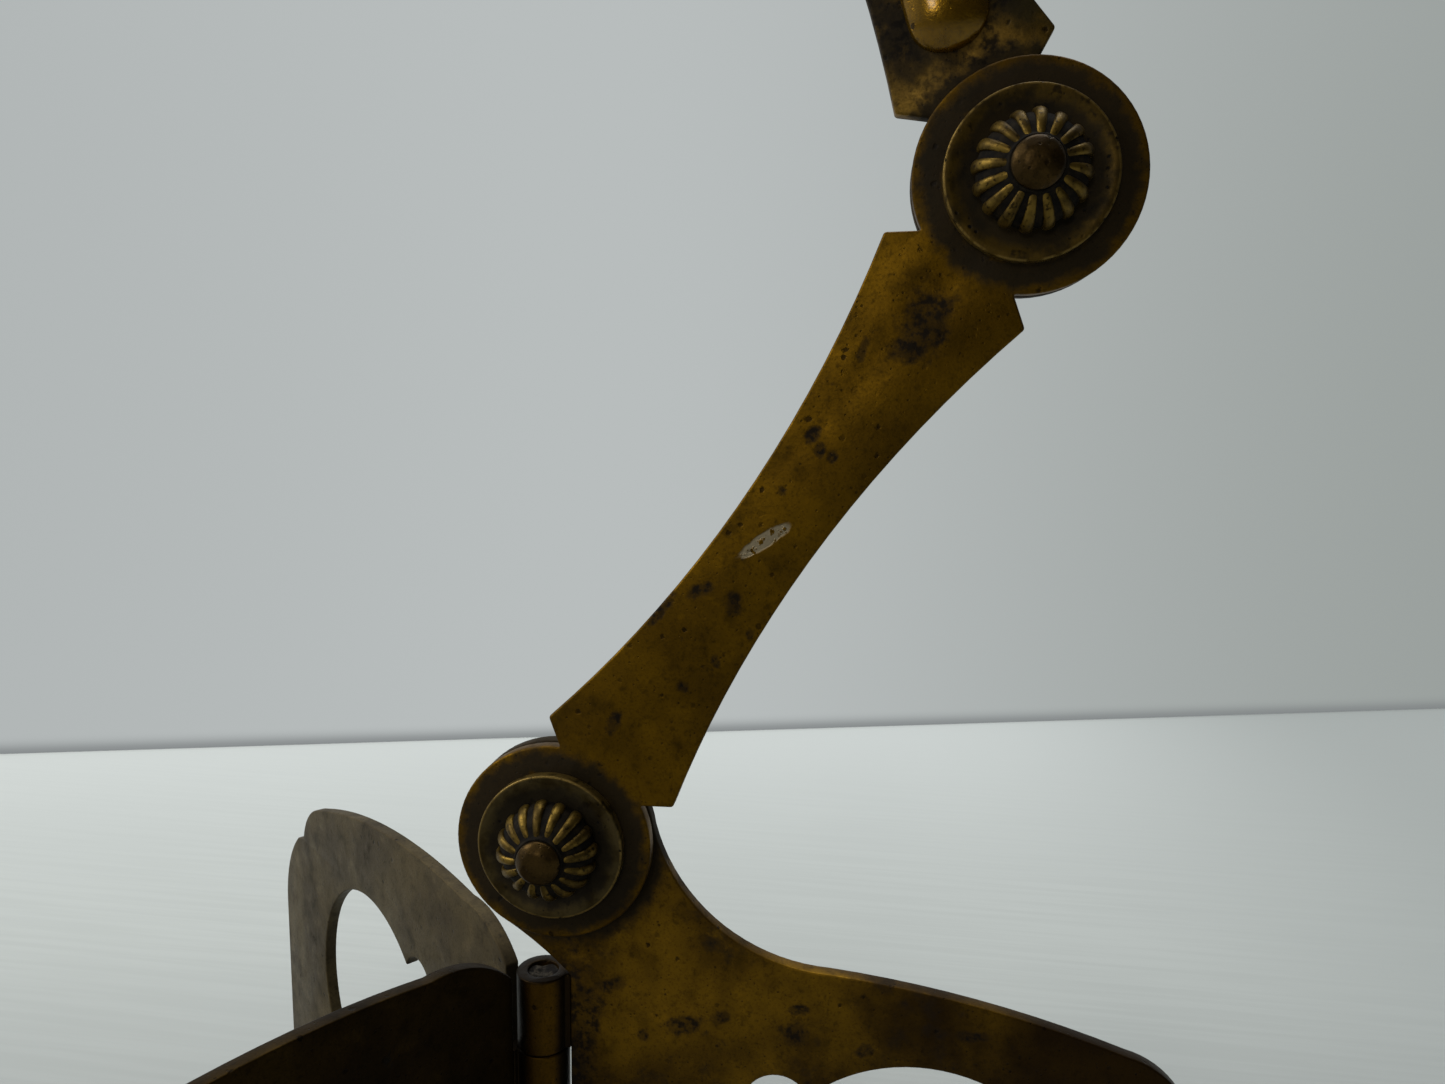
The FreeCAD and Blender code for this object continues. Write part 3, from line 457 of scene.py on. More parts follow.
# %% Finishes of the plates
# A patch is its place x and z, its length and width, and its lean in degrees.
LINK_BLOTS = [(46.0, 144.8, 7.5, 5.2, 5), (44.4, 142.3, 4.2, 3.4, 40), (47.8, 146.6, 3.4, 2.2, 60),
              (33.9, 132.5, 2.2, 1.5, 20), (34.7, 130.8, 1.7, 1.3, 0), (36.1, 130.0, 1.5, 1.2, 0),
              (39.2, 142.1, 2.8, 1.2, 20), (16.1, 111.2, 5.0, 1.4, 38), (21.0, 114.0, 3.6, 1.6, 60),
              (24.9, 112.3, 2.6, 2.2, 0), (10.6, 97.3, 3.0, 1.6, 30), (19.1, 102.1, 1.6, 1.4, 0),
              (23.0, 105.4, 1.5, 1.2, 0), (30.5, 126.0, 1.4, 1.0, 0), (27.0, 109.0, 1.2, 1.0, 0)]
# The first, long upright patch beside the hinge barrel is painted shade that the barrel throws on the
# leaf; the others are stains.
LEAF_STAINS_AND_SHADE = [(4.4, 40.0, 48.0, 5.2, 0), (6.0, 56.0, 9.0, 4.0, 10), (9.3, 61.4, 4.4, 1.8, 75),
              (5.9, 59.7, 2.6, 1.6, 60), (18.9, 56.9, 4.6, 2.6, 80), (23.7, 58.3, 2.6, 1.6, 60),
              (33.8, 60.4, 2.2, 1.4, 80), (33.0, 57.0, 3.4, 3.0, 0), (13.6, 55.0, 1.8, 1.4, 0),
              (42.0, 55.6, 2.4, 1.6, 70), (55.0, 59.0, 3.4, 1.4, 85)]
# Rings of dirt and painted shade round the lower link's washers.
LINK_DIRT_AND_SHADE_RINGS = [(JOINTS["lower"], 9.2, 12.9), (JOINTS["middle"], 9.2, 12.9)]
finishes = {
    # On the main leaf, the ring round the lower joint is dirt and painted shade just outside the lower
    # link's head.
    "main_leaf": old_brass("main_leaf_brass", (124, 91, 18), (80, 57, 14), dirt=0.6, seed=1.3,
                           dirt_and_shade_rings=[(JOINTS["lower"], 11.0, 15.5)], dark_patches=LEAF_STAINS_AND_SHADE, pitting=0.8,
                           fade_to_dark=((26, 0, 58), (66, 0, 48), (34, 22, 8), 0.92)),
    # The rear leaf's grey, weakly metallic tone is partly a painted sheen, standing for the daylight it
    # reflects.
    "rear_leaf": old_brass("rear_leaf_brass", (84, 72, 46), (66, 56, 38), dirt=0.4, seed=4.1,
                           metal=0.35, rough=0.56, pitting=0.7),
    # The front leaf's tone is much darker than the other leaves': painted shade, as this leaf faces
    # away from the daylight.
    "front_leaf": old_brass("front_leaf_brass", (50, 36, 8), (34, 23, 5), dirt=0.2, seed=6.6,
                            metal=0.8, rough=0.5, pitting=0.6),
    "lower_link": old_brass("lower_link_brass", (106, 76, 7), (82, 58, 6), dirt=0.0, seed=2.2,
                            dirt_and_shade_rings=LINK_DIRT_AND_SHADE_RINGS, dark_patches=LINK_BLOTS, pitting=0.75,
                            scars=[(28.6, 120.2, 7.2, 1.7, 56), (27.2, 119.0, 3.0, 1.0, 56)]),
    "upper_link": old_brass("upper_link_brass", (150, 116, 48), (76, 58, 22), dirt=0.9, seed=8.4,
                            dirt_and_shade_rings=[(JOINTS["middle"], 12.2, 15.0)], pitting=0.6,
                            # These three patches darken a band round the foot of the raised panel.
                            dark_patches=[(46.0, 181.0, 17.0, 18.5, -27), (34.5, 203.5, 44.0, 14.0, -27),
                                   (23.4, 225.5, 17.0, 18.5, -27)],
                            fade_to_dark=((48, 0, 178), (64, 0, 184), (40, 38, 14), 0.7)),
    "hanger": old_brass("hanger_brass", (122, 90, 18), (98, 72, 14), dirt=0.2, seed=9.9,
                        dirt_and_shade_rings=[(JOINTS["upper"], 9.2, 12.6)], pitting=0.6),
}
edges = {
    "leaf": rubbed_brass("leaf_edge_brass", (150, 128, 74), (84, 66, 34), 1.0, 0.45),
    # Rubbed edges whose pale tone is also a painted highlight.
    "link": rubbed_brass("link_edge_brass", (214, 196, 152), (110, 88, 42), 2.0, 0.9),
    "small": rubbed_brass("small_edge_brass", (178, 148, 72), (104, 80, 34), 5.0, 0.8),
}
print(len(finishes), "plate finishes")

# %% [markdown]
# ## Worn edges on the plates
#
# The plates were sawn and filed by hand, so their edges are slightly round, and that thin round
# catches the light. The CAD node has knife edges. Its mesh is copied, merged back from loose
# triangles into whole faces, and bevelled by a quarter of a millimetre. The bevel gets a brighter
# material of its own, because that is where hands and cloths rub the patina away. On the links
# that pale colour is also a painted highlight, standing for the light the round edge reflects.

# %% Helpers for finished pieces
def show(name, mesh, node, materials, replaces=None):
    """Make a finished piece that rides on its CAD node's body and stands for that node."""
    for material in materials:
        mesh.materials.append(material)
    thing = placed(name, mesh)
    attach(thing, body_of[node])
    for other in (replaces if replaces is not None else [node]):
        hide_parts(other)
    return thing


def smooth(mesh, sharp=32):
    for face in mesh.polygons:
        face.use_smooth = True
    mesh.set_sharp_from_angle(angle=math.radians(sharp))


def whole_faces(node):
    """Copy of a CAD node's mesh with its triangles merged into flat faces."""
    shape = bmesh.new()
    shape.from_mesh(nodes[node].data)
    bmesh.ops.remove_doubles(shape, verts=shape.verts, dist=2e-6)
    bmesh.ops.dissolve_limit(shape, angle_limit=math.radians(1), verts=shape.verts, edges=shape.edges)
    return shape


def mesh_of(shape, name):
    """Mesh of a shape, which is then dropped."""
    mesh = bpy.data.meshes.new(name)
    shape.to_mesh(mesh)
    shape.free()
    return mesh


def settled(thing, name):
    """Plain mesh of a work object after its modifiers. The object is then dropped."""
    ready = thing.evaluated_get(bpy.context.evaluated_depsgraph_get())
    mesh = bpy.data.meshes.new_from_object(ready)
    mesh.name = name
    bpy.data.objects.remove(thing)
    return mesh


def bevelled(shape, name, width_mm, angle=38):
    """Plain mesh of a shape with rounded edges, whose faces have the second material."""
    thing = placed(name + "_work", mesh_of(shape, name))
    for _ in ("faces", "edges"):
        thing.data.materials.append(None)
    bevel = thing.modifiers.new("worn edge", "BEVEL")
    bevel.width = width_mm * MM
    bevel.segments = 3
    bevel.limit_method = "ANGLE"
    bevel.angle_limit = math.radians(angle)
    bevel.material = 1
    bevel.miter_outer = "MITER_ARC"
    mesh = settled(thing, name)
    mesh.materials.clear()
    return mesh


def worn(node, suffix, face, edge, width_mm, angle=38, sharp=32):
    """Show a CAD node's own shape with worn edges."""
    mesh = bevelled(whole_faces(node), node + "_worn", width_mm, angle)
    smooth(mesh, sharp)
    show(node + suffix, mesh, node, [face, edge])


# %% Leaves, lower link and hanger
LEAF_WEAR, LINK_WEAR = 0.26, 0.30
for node in ("main_leaf", "rear_leaf", "front_leaf"):
    worn(node, "_plate", finishes[node], edges["leaf"], LEAF_WEAR)
for node in ("lower_link", "hanger"):
    worn(node, "_plate", finishes[node], edges["link"], LINK_WEAR)

# %% [markdown]
# ## The raised panel
#
# The upper link carries a long raised panel, polished by touch. Its foot is a sharp line, but
# its sides roll over into a soft pillow. The CAD panel has a plain fillet, so the copy of the
# link loses it, the hole is closed, and a new panel grows from the same outline: ring after ring
# is drawn towards a line down the middle while it climbs a round section.

# %% Upper link without its panel
LINK_FRONT = -1.0 * MM
CORNER_PASSES = 8


def link_with_outline(node):
    """Flat copy of the link, and the outline of its panel's foot, both from the CAD mesh."""
    shape = bmesh.new()
    shape.from_mesh(nodes[node].data)
    bmesh.ops.remove_doubles(shape, verts=shape.verts, dist=2e-6)
    raised = [vert for vert in shape.verts if vert.co.y < LINK_FRONT - 0.0005 * MM]
    bmesh.ops.delete(shape, geom=raised, context="VERTS")
    rim = [edge for edge in shape.edges if edge.is_boundary]
    start = rim[0].verts[0]
    loop, edge = [start], rim[0]
    vert = rim[0].other_vert(start)
    while vert is not start:
        loop.append(vert)
        edge = [other for other in vert.link_edges if other.is_boundary and other is not edge][0]
        vert = edge.other_vert(vert)
    outline = [vert.co.copy() for vert in loop]
    bmesh.ops.contextual_create(shape, geom=rim)
    bmesh.ops.recalc_face_normals(shape, faces=shape.faces)
    bmesh.ops.dissolve_limit(shape, angle_limit=math.radians(1), verts=shape.verts, edges=shape.edges)
    return shape, outline


def evenly(points, count):
    """Points spread evenly along a closed line, with its corners worn round."""
    ring = points + points[:1]
    so_far = [0]
    for before, after in zip(ring, ring[1:]):
        so_far.append(so_far[-1] + (after - before).length)
    spread, index = [], 0
    for number in range(count):
        target = so_far[-1] * number / count
        while so_far[index + 1] <= target:
            index += 1
        share = (target - so_far[index]) / (so_far[index + 1] - so_far[index])
        spread.append(ring[index].lerp(ring[index + 1], share))
    for _ in range(CORNER_PASSES):
        spread = [(spread[number - 1] + point * 2 + spread[(number + 1) % count]) / 4
                  for number, point in enumerate(spread)]
    return spread


def pillow(outline, start, end, height, rings, name):
    """Closed raised shape on an outline in the XZ plane, round towards -Y, about a middle line."""
    line = end - start
    reach = [(point - start).dot(line) / line.length_squared for point in outline]
    wide = max((point - start - line * share).length for point, share in zip(outline, reach))
    low, high = min(reach) + wide * 1.2 / line.length, max(reach) - wide * 1.2 / line.length
    ease = wide * 0.5 / line.length

    def over(value):
        return ease * math.log1p(math.exp(value / ease))

    spine = [start + line * (low + over(share - low) - over(share - high)) for share in reach]
    shape = bmesh.new()
    layers = []
    for step in range(rings + 1):
        inwards = 1 - math.cos(math.pi / 2 * step / rings)
        rise = height * (1 - (1 - inwards) ** 2) ** 0.5
        layers.append([shape.verts.new(point.lerp(middle_point, inwards) - Vector((0, rise, 0)))
                       for point, middle_point in zip(outline, spine)])
    count = len(outline)
    for lower, upper in zip(layers, layers[1:]):
        for index in range(count):
            after = (index + 1) % count
            shape.faces.new((lower[index], lower[after], upper[after], upper[index]))
    shape.faces.new(reversed(layers[0]))
    bmesh.ops.remove_doubles(shape, verts=shape.verts, dist=1e-6)
    bmesh.ops.holes_fill(shape, edges=[edge for edge in shape.edges if edge.is_boundary])
    bmesh.ops.recalc_face_normals(shape, faces=shape.faces)
    return mesh_of(shape, name)


shape, outline = link_with_outline("upper_link")
plate = bevelled(shape, "upper_link_worn", LINK_WEAR)
smooth(plate)
show("upper_link_plate", plate, "upper_link", [finishes["upper_link"], edges["link"]])
panel_height = LINK_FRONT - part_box("upper_link")[0].y
low_end, high_end = JOINTS["middle"].copy(), JOINTS["upper"].copy()
low_end.y = high_end.y = outline[0].y
panel = pillow(evenly(outline, 200), low_end, high_end, panel_height, 14, "upper_link_panel")
smooth(panel, 60)
panel_brass = old_brass("panel_brass", (150, 112, 12), (124, 90, 8), dirt=0.0, seed=3.3,
                        metal=0.8, rough=0.24, pitting=0.3, coat=0.5)
show("upper_link_panel", panel, "upper_link", [panel_brass], [])
print("panel outline of", len(outline), "points, height", round(panel_height / MM, 2), "mm")

# %% [markdown]
# ## Turned pieces
#
# Washers, rivet caps, the post, its ball and the pans all came off a lathe, so one helper makes
# them: it spins a half section about an axis. A section is a list of corners as (radius,
# height, round) in millimetres, and a corner with a round becomes a small arc, which is the soft
# edge that years of wiping give. The section closes on itself where the piece has a hole.

# %% Spin a section
def rounded(corners, closed):
    """Section points in which each corner's round is drawn as a short arc."""
    points = []
    count = len(corners)
    for index, (radius, height, bend) in enumerate(corners):
        here = Vector((radius, height))
        open_end = not closed and index in (0, count - 1)
        if bend <= 0 or open_end:
            points.append(here)
            continue
        before, after = Vector(corners[index - 1][:2]), Vector(corners[(index + 1) % count][:2])
        into, out = (before - here), (after - here)
        bend = min(bend, into.length * 0.45, out.length * 0.45)
        first, last = here + into.normalized() * bend, here + out.normalized() * bend
        for step in range(5):
            share = step / 4
            points.append(first * (1 - share) ** 2 + here * 2 * share * (1 - share) + last * share ** 2)
    return points


def spun(name, corners, closed=True, steps=96):
    """Turned shape about its own Z axis."""
    points = rounded(corners, closed)
    shape = bmesh.new()
    rings = []
    for point in points:
        if point.x < 1e-6:
            rings.append([shape.verts.new((0, 0, point.y * MM))] * steps)
            continue
        rings.append([shape.verts.new((point.x * MM * math.cos(math.tau * i / steps),
                                       point.x * MM * math.sin(math.tau * i / steps),
                                       point.y * MM)) for i in range(steps)])
    pairs = list(zip(rings, rings[1:])) + ([(rings[-1], rings[0])] if closed else [])
    for lower, upper in pairs:
        for i in range(steps):
            ring = []
            for vert in (lower[i], lower[(i + 1) % steps], upper[(i + 1) % steps], upper[i]):
                if vert not in ring:
                    ring.append(vert)
            if len(ring) > 2:
                shape.faces.new(ring)
    bmesh.ops.recalc_face_normals(shape, faces=shape.faces)
    return mesh_of(shape, name)


def towards_front(x, y, z):
    """Matrix that stands a turned piece on (x, y, z), with its own +Z towards -Y."""
    return Matrix.Translation((x, y, z)) @ Matrix.Rotation(math.pi / 2, 4, "X")


def middle(node):
    """Middle and size of a CAD node's box."""
    low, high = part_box(node)
    return (low + high) / 2, high - low


# %% [markdown]
# ## Dished washers and rivets
#
# A dished washer sits under each rosette. Its rim is rubbed golden, and its hollow holds a
# century of polish and dirt. A ring-shaped mask, measured from the joint, paints that. The rivet
# ends in a cap that was hammered round, so its faces are very slightly flat.

# %% Washers
BORE, SHANK = 2.05, 2.0  # radius in millimetres of a joint's holes and of its rivet


def washer_brass(name, centre, seed):
    look = Finish("washer_brass_" + name)
    reach = look.apart(centre)
    mottle, ragged = look.noise(3.0, 5, seed), look.noise(1.4, 5, seed + 2)
    grain = look.noise(0.3, 3, seed + 5)
    metal = shade(74, 62, 34) if name == "lower" else shade(80, 61, 18)
    colour = look.blend(look.step(mottle, 0.4, 0.66), metal, shade(46, 35, 11))
    hollow = look.step(reach + (ragged - 0.5) * 2.4, 8.6, 7.2)
    colour = look.blend(hollow * 0.8, colour, shade(24, 19, 10))
    rim = look.step(reach, 8.9, 9.1) * look.step(ragged, 0.36, 0.52)
    colour = look.blend(rim * 0.7, colour, shade(128, 104, 52))
    pits = look.pits(0.7, 0.3, ragged, seed)
    colour = look.blend(look.most(pits, look.step(ragged, 0.60, 0.70) * 0.7), colour, SOOT_AND_SHADE)
    return look.done(colour, 0.42 + hollow * 0.25 + (grain - 0.5) * 0.2 - rim * 0.08,
                     0.6 - hollow * 0.45, grain * 0.4 + mottle * 0.8 - pits + ragged * 0.3, 0.05)


for seed, (name, centre) in enumerate(JOINTS.items()):
    low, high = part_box("dished_washer_" + name)
    radius, height = (high.x - low.x) / 2 / MM, (high.y - low.y) / MM
    mesh = spun("dished_washer", [
        (BORE, 0.0, 0), (radius, 0.0, 0.10), (radius, height - 0.12, 0.10),
        (radius - 0.14, height, 0.10), (radius - 0.75, height - 0.02, 0.45),
        (radius - 2.6, height - 0.52, 1.0), (BORE, height - 0.60, 0)])
    mesh.transform(towards_front(centre.x, high.y, centre.z))
    smooth(mesh, 50)
    show("dished_washer_" + name + "_turned", mesh, "dished_washer_" + name,
         [washer_brass(name, centre, 20 + seed * 3)])
print("three dished washers, radius", round(radius, 2), "mm")

# %% Rivets
rivet_brass = old_brass("rivet_brass", (72, 54, 24), (42, 31, 14), dirt=0.3, seed=12.0,
                        metal=0.8, rough=0.34, pitting=1.0)


def hammered(mesh, depth, seed):
    """Small flats on a cap, as a round-nosed hammer leaves them."""
    base = max(vert.co.z for vert in mesh.vertices) - 2.0 * MM
    for number in range(9):
        turn = number * 2.4 + seed
        lean = 0.25 + 0.55 * ((number * 0.37 + seed) % 1)
        way = Vector((math.cos(turn) * lean, math.sin(turn) * lean, 1)).normalized()
        ahead = max(vert.co.dot(way) for vert in mesh.vertices if vert.co.z > base)
        for vert in mesh.vertices:
            over = vert.co.dot(way) - (ahead - depth * MM)
            if over > 0 and vert.co.z > base:
                vert.co -= way * over * 0.8


for seed, (name, centre) in enumerate(JOINTS.items()):
    low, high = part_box("rivet_" + name)
    dome_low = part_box("fluted_dome_" + name)[0]
    washer_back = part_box("back_washer_" + name)[1].y / MM
    top = -low.y / MM
    crown = -dome_low.y / MM
    mesh = spun("rivet", [
        (0.0, -high.y / MM, 0), (2.2, -high.y / MM + 0.18, 0.9), (3.6, -high.y / MM + 1.12, 0.3),
        (3.55, -washer_back, 0.1), (SHANK, -washer_back, 0), (SHANK, crown, 0), (2.72, crown, 0.05),
        (2.74, crown + 0.36, 0.3), (2.3, crown + 0.86, 0.6), (1.4, top - 0.07, 0.7), (0.0, top, 0)],
        closed=False, steps=64)
    hammered(mesh, 0.10, 0.6 + seed)
    mesh.transform(towards_front(centre.x, 0, centre.z))
    smooth(mesh, 45)
    show("rivet_" + name + "_peened", mesh, "rivet_" + name, [rivet_brass])
print("three rivets,", round(top + high.y / MM, 1), "mm from tail to cap")

# %% [markdown]
# ## The fluted domes
#
# Each rosette is a dome with sixteen ribs. The ribs repeat round a circle, which is what
# Geometry Nodes are for. One rib is a curved path from the crown to the foot, swept with a
# flattened circle that swells towards the foot and closes at both ends. It is placed on sixteen
# points, each turned a little further, with a small fixed random stretch, because a chaser cut
# them by eye. The dark core between the ribs is a plain turned shape that goes in as the tree's
# geometry.

# %% The rib tree
class ShapeGraph(Graph):
    """A Geometry Nodes tree with named inputs."""

    def __init__(self, name, sizes):
        tree = bpy.data.node_groups.new(name, "GeometryNodeTree")
        super().__init__(tree)
        tree.interface.new_socket("Geometry", in_out="INPUT", socket_type="NodeSocketGeometry")
        for label, (kind, value) in sizes.items():
            made = tree.interface.new_socket(label, in_out="INPUT", socket_type="NodeSocket" + kind)
            made.default_value = value
        tree.interface.new_socket("Geometry", in_out="OUTPUT", socket_type="NodeSocketGeometry")
        source = tree.nodes.new("NodeGroupInput")
        self.given = {socket.name: Wire(self, socket) for socket in source.outputs if socket.name}

    def joined(self, *parts):
        join = self.tree.nodes.new("GeometryNodeJoinGeometry")
        for part in parts:
            self.tree.links.new(part.socket, join.inputs[0])
        return Wire(self, join.outputs[0])

    def end(self, geometry):
        sink = self.tree.nodes.new("NodeGroupOutput")
        self.tree.links.new(geometry.socket, sink.inputs[0])
        return self.tree


RIB_FLAT = 0.62


def rib_tree():
    graph = ShapeGraph("ribs_on_a_dome", {
        "Ribs": ("Int", 16), "Crown radius": ("Float", 3.3 * MM), "Foot radius": ("Float", 6.1 * MM),
        "Crown height": ("Float", 4.2 * MM), "Foot height": ("Float", 0.6 * MM),
        "Rib width": ("Float", 1.0 * MM), "Seed": ("Int", 4)})
    size = graph.given

    def point(across, up):
        return graph.node("ShaderNodeCombineXYZ", None, {0: across, 2: up})

    crown, foot = size["Crown radius"], size["Foot radius"]
    path = graph.node("GeometryNodeCurvePrimitiveBezierSegment", None, {
        "Resolution": 22,
        "Start": point(crown, size["Crown height"]),
        "Start Handle": point(crown + (foot - crown) * 0.62, size["Crown height"] * 0.93),
        "End Handle": point(foot * 1.02, size["Foot height"] + size["Crown height"] * 0.55),
        "End": point(foot, size["Foot height"])})
    path = graph.node("GeometryNodeResampleCurve", None, {"Curve": path, "Count": 24})
    share = graph.node("GeometryNodeSplineParameter")
    ends = (1 - (share * 2 - 1) ** 10) ** 0.5
    swell = (share * 0.55 + 0.45) * ends
    ring = graph.node("GeometryNodeCurvePrimitiveCircle", None, {"Resolution": 16, "Radius": 1.0})
    ring = graph.node("GeometryNodeTransform", None, {"Geometry": ring, "Scale": (1, RIB_FLAT, 1)})
    rib = graph.node("GeometryNodeCurveToMesh", None, {
        "Curve": path, "Profile Curve": ring, "Fill Caps": True,
        "Scale": swell * size["Rib width"] * 0.5 + 0.00002})
    rib = graph.node("GeometryNodeSetShadeSmooth", None, {"Geometry": rib})
    spots = graph.node("GeometryNodePoints", None, {"Count": size["Ribs"]})
    index = graph.node("GeometryNodeInputIndex")
    turn = index * math.tau / size["Ribs"]
    chance = graph.node("FunctionNodeRandomValue", None, {2: 0.965, 3: 1.0, "Seed": size["Seed"]}, 1)
    ribs = graph.node("GeometryNodeInstanceOnPoints", None, {
        "Points": spots, "Instance": rib,
        "Rotation": graph.node("ShaderNodeCombineXYZ", None, {2: turn}),
        "Scale": graph.node("ShaderNodeCombineXYZ", None, {0: chance, 1: chance, 2: chance})})
    ribs = graph.node("GeometryNodeRealizeInstances", None, {"Geometry": ribs})
    ribs = graph.node("GeometryNodeSetMaterial", {}, {"Geometry": ribs, "Material": rib_brass})
    core = graph.node("GeometryNodeSetMaterial", {}, {"Geometry": size["Geometry"],
                                                      "Material": groove_dirt})
    return graph.end(graph.joined(core, ribs))


def rib_finish():
    look = Finish("rib_brass")
    mottle, speck = look.noise(1.6, 4, 31.0), look.noise(0.5, 4, 33.0)
    colour = look.blend(look.step(mottle, 0.36, 0.64), shade(120, 96, 40), shade(76, 60, 26))
    colour = look.blend(look.step(speck, 0.54, 0.68) * 0.8, colour, SOOT_AND_SHADE)
    return look.done(colour, 0.30 + mottle * 0.22, 0.8, mottle + speck * 0.6, 0.05)


def groove_finish():
    look = Finish("groove_dirt")
    lump = look.noise(0.9, 4, 35.0)
    colour = look.blend(look.step(lump, 0.4, 0.7), shade(14, 10, 5), shade(34, 27, 15))
    return look.done(colour, 0.78, 0.1, lump, 0.08)


rib_brass, groove_dirt = rib_finish(), groove_finish()
ribbing = rib_tree()
print("rib tree has", len(ribbing.nodes), "nodes")

# %% Run the tree on each dome's core
def through_tree(mesh, tree, name, sizes):
    """Plain mesh of an object after a Geometry Nodes tree, with inputs set by identifier.

    A tree can leave an empty material slot in front of its own, and that slot is dropped.
    """
    thing = placed(name + "_work", mesh)
    modifier = thing.modifiers.new("tree", "NODES")
    modifier.node_group = tree
    for item in tree.interface.items_tree:
        if item.in_out == "INPUT" and item.name in sizes:
            modifier[item.identifier] = sizes[item.name]
    result = settled(thing, name)
    slots = list(result.materials)
    used = [material for material in slots if material]
    picks = [used.index(slots[face.material_index]) for face in result.polygons]
    result.materials.clear()
    for material in used:
        result.materials.append(material)
    result.polygons.foreach_set("material_index", picks)
    return result


for seed, (name, centre) in enumerate(JOINTS.items()):
    node = "fluted_dome_" + name
    low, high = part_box(node)
    radius, height = (high.x - low.x) / 2 / MM, (high.y - low.y) / MM
    core = spun("dome_core", [
        (BORE, 0.0, 0), (radius - 0.75, 0.0, 0.2), (radius - 0.62, 1.7, 0.6),
        (radius - 1.75, height - 1.15, 0.9), (3.1, height - 0.42, 0.3), (2.95, height, 0.1),
        (BORE, height, 0)], steps=64)
    smooth(core, 40)
    dome = through_tree(core, ribbing, node + "_ribbed", {
        "Crown radius": 2.55 * MM, "Foot radius": (radius - 0.50) * MM,
        "Crown height": (height - 0.44) * MM, "Foot height": 0.55 * MM,
        "Rib width": 1.62 * MM, "Seed": 4 + seed})
    dome.transform(towards_front(centre.x, high.y, centre.z) @ Matrix.Rotation(0.11 + seed, 4, "Z"))
    show(node + "_ribbed", dome, node, [])
print("dome of radius", round(radius, 2), "mm with", len(dome.polygons), "faces")

# %% [markdown]
# ## The hinge
#
# Six short tubes are brazed to the leaves and share one pin. The barrel's sides are painted
# darker, which is painted shade on the round tube, so a golden line stays down its middle; its
# top is dark with old oil, and the joints between the tubes are dark. The pin stops below the top
# of the barrel, and the hollow above it is full of dirt, which is a small lump here.

# %% Knuckles
barrel_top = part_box("main_knuckle_upper")[1].z / MM
knuckle_brass = old_brass("knuckle_brass", (92, 64, 8), (56, 38, 6), dirt=0.2, seed=14.2,
                          metal=0.85, rough=0.40, pitting=0.9, stretch=(1, 1, 0.35),
                          barrel_top_oil_and_shade=barrel_top)
knuckle_end = rubbed_brass("knuckle_end_brass", (62, 52, 34), (30, 25, 17), 6.0, 0.3)
for node in sorted(slot_of):
    if slot_of[node] == "knuckle":
        worn(node, "_tube", knuckle_brass, knuckle_end, 0.22, angle=50, sharp=40)

# %% Dirt on top of the pin
def dirt_finish():
    look = Finish("packed_dirt")
    lump, crumb = look.noise(1.1, 5, 41.0), look.noise(0.35, 4, 43.0)
    colour = look.blend(look.step(lump, 0.4, 0.62), shade(20, 17, 14), shade(74, 68, 58))
    return look.done(colour, 0.9, 0.0, lump + crumb, 0.12)


def lump_mesh(name, radius, rings, steps, heights):
    """Low uneven disc about Z whose height follows a function of place."""
    shape = bmesh.new()
    centre = shape.verts.new((0, 0, heights(0, 0)))
    layers = []
    for ring in range(1, rings + 1):
        reach = radius * ring / rings
        layers.append([shape.verts.new((reach * math.cos(math.tau * i / steps),
                                        reach * math.sin(math.tau * i / steps),
                                        heights(reach, math.tau * i / steps)))
                       for i in range(steps)])
    bottom = [shape.verts.new((vert.co.x, vert.co.y, 0)) for vert in layers[-1]]
    for i in range(steps):
        after = (i + 1) % steps
        shape.faces.new((centre, layers[0][i], layers[0][after]))
        for inner, outer in zip(layers, layers[1:]):
            shape.faces.new((inner[i], outer[i], outer[after], inner[after]))
        shape.faces.new((layers[-1][i], bottom[i], bottom[after], layers[-1][after]))
    shape.faces.new(reversed(bottom))
    bmesh.ops.recalc_face_normals(shape, faces=shape.faces)
    return mesh_of(shape, name)


HOLLOW = 2 * MM  # radius of the hollow that the dirt fills


def dirt_height(reach, turn):
    """Waves round the hollow, with a dent beside its middle."""
    share, x, y = reach / HOLLOW, reach * math.cos(turn) / MM, reach * math.sin(turn) / MM
    waves = 0.42 + 0.16 * math.sin(turn * 2 + 1) * share + 0.13 * math.cos(turn * 5) * share
    return MM * (waves - 0.34 * math.exp(-((x + 0.5) ** 2 + y ** 2) / 0.5))


pin_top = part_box("hinge_pin")[1].z
dirt = lump_mesh("pin_dirt", 1.97 * MM, 7, 28, dirt_height)
dirt.transform(Matrix.Translation((0, 0, pin_top - 0.05 * MM)))
smooth(dirt, 60)
show("pin_dirt", dirt, "hinge_pin", [dirt_finish()], [])
pin_brass = old_brass("pin_brass", (84, 70, 52), (58, 48, 36), dirt=0.6, seed=15.5, metal=0.5,
                      rough=0.6)
print("pin ends", round(barrel_top - pin_top / MM, 2), "mm below the barrel")

# %% [markdown]
# ## The balance
#
# The post, its ball and the pans are turned, the beam and the fork are filed from bar, and the
# bows are bent wire. They are small, light pieces, so a fine bevel and a clear line of
# highlights matter more than anything else. The brass is the same, a little less stained.

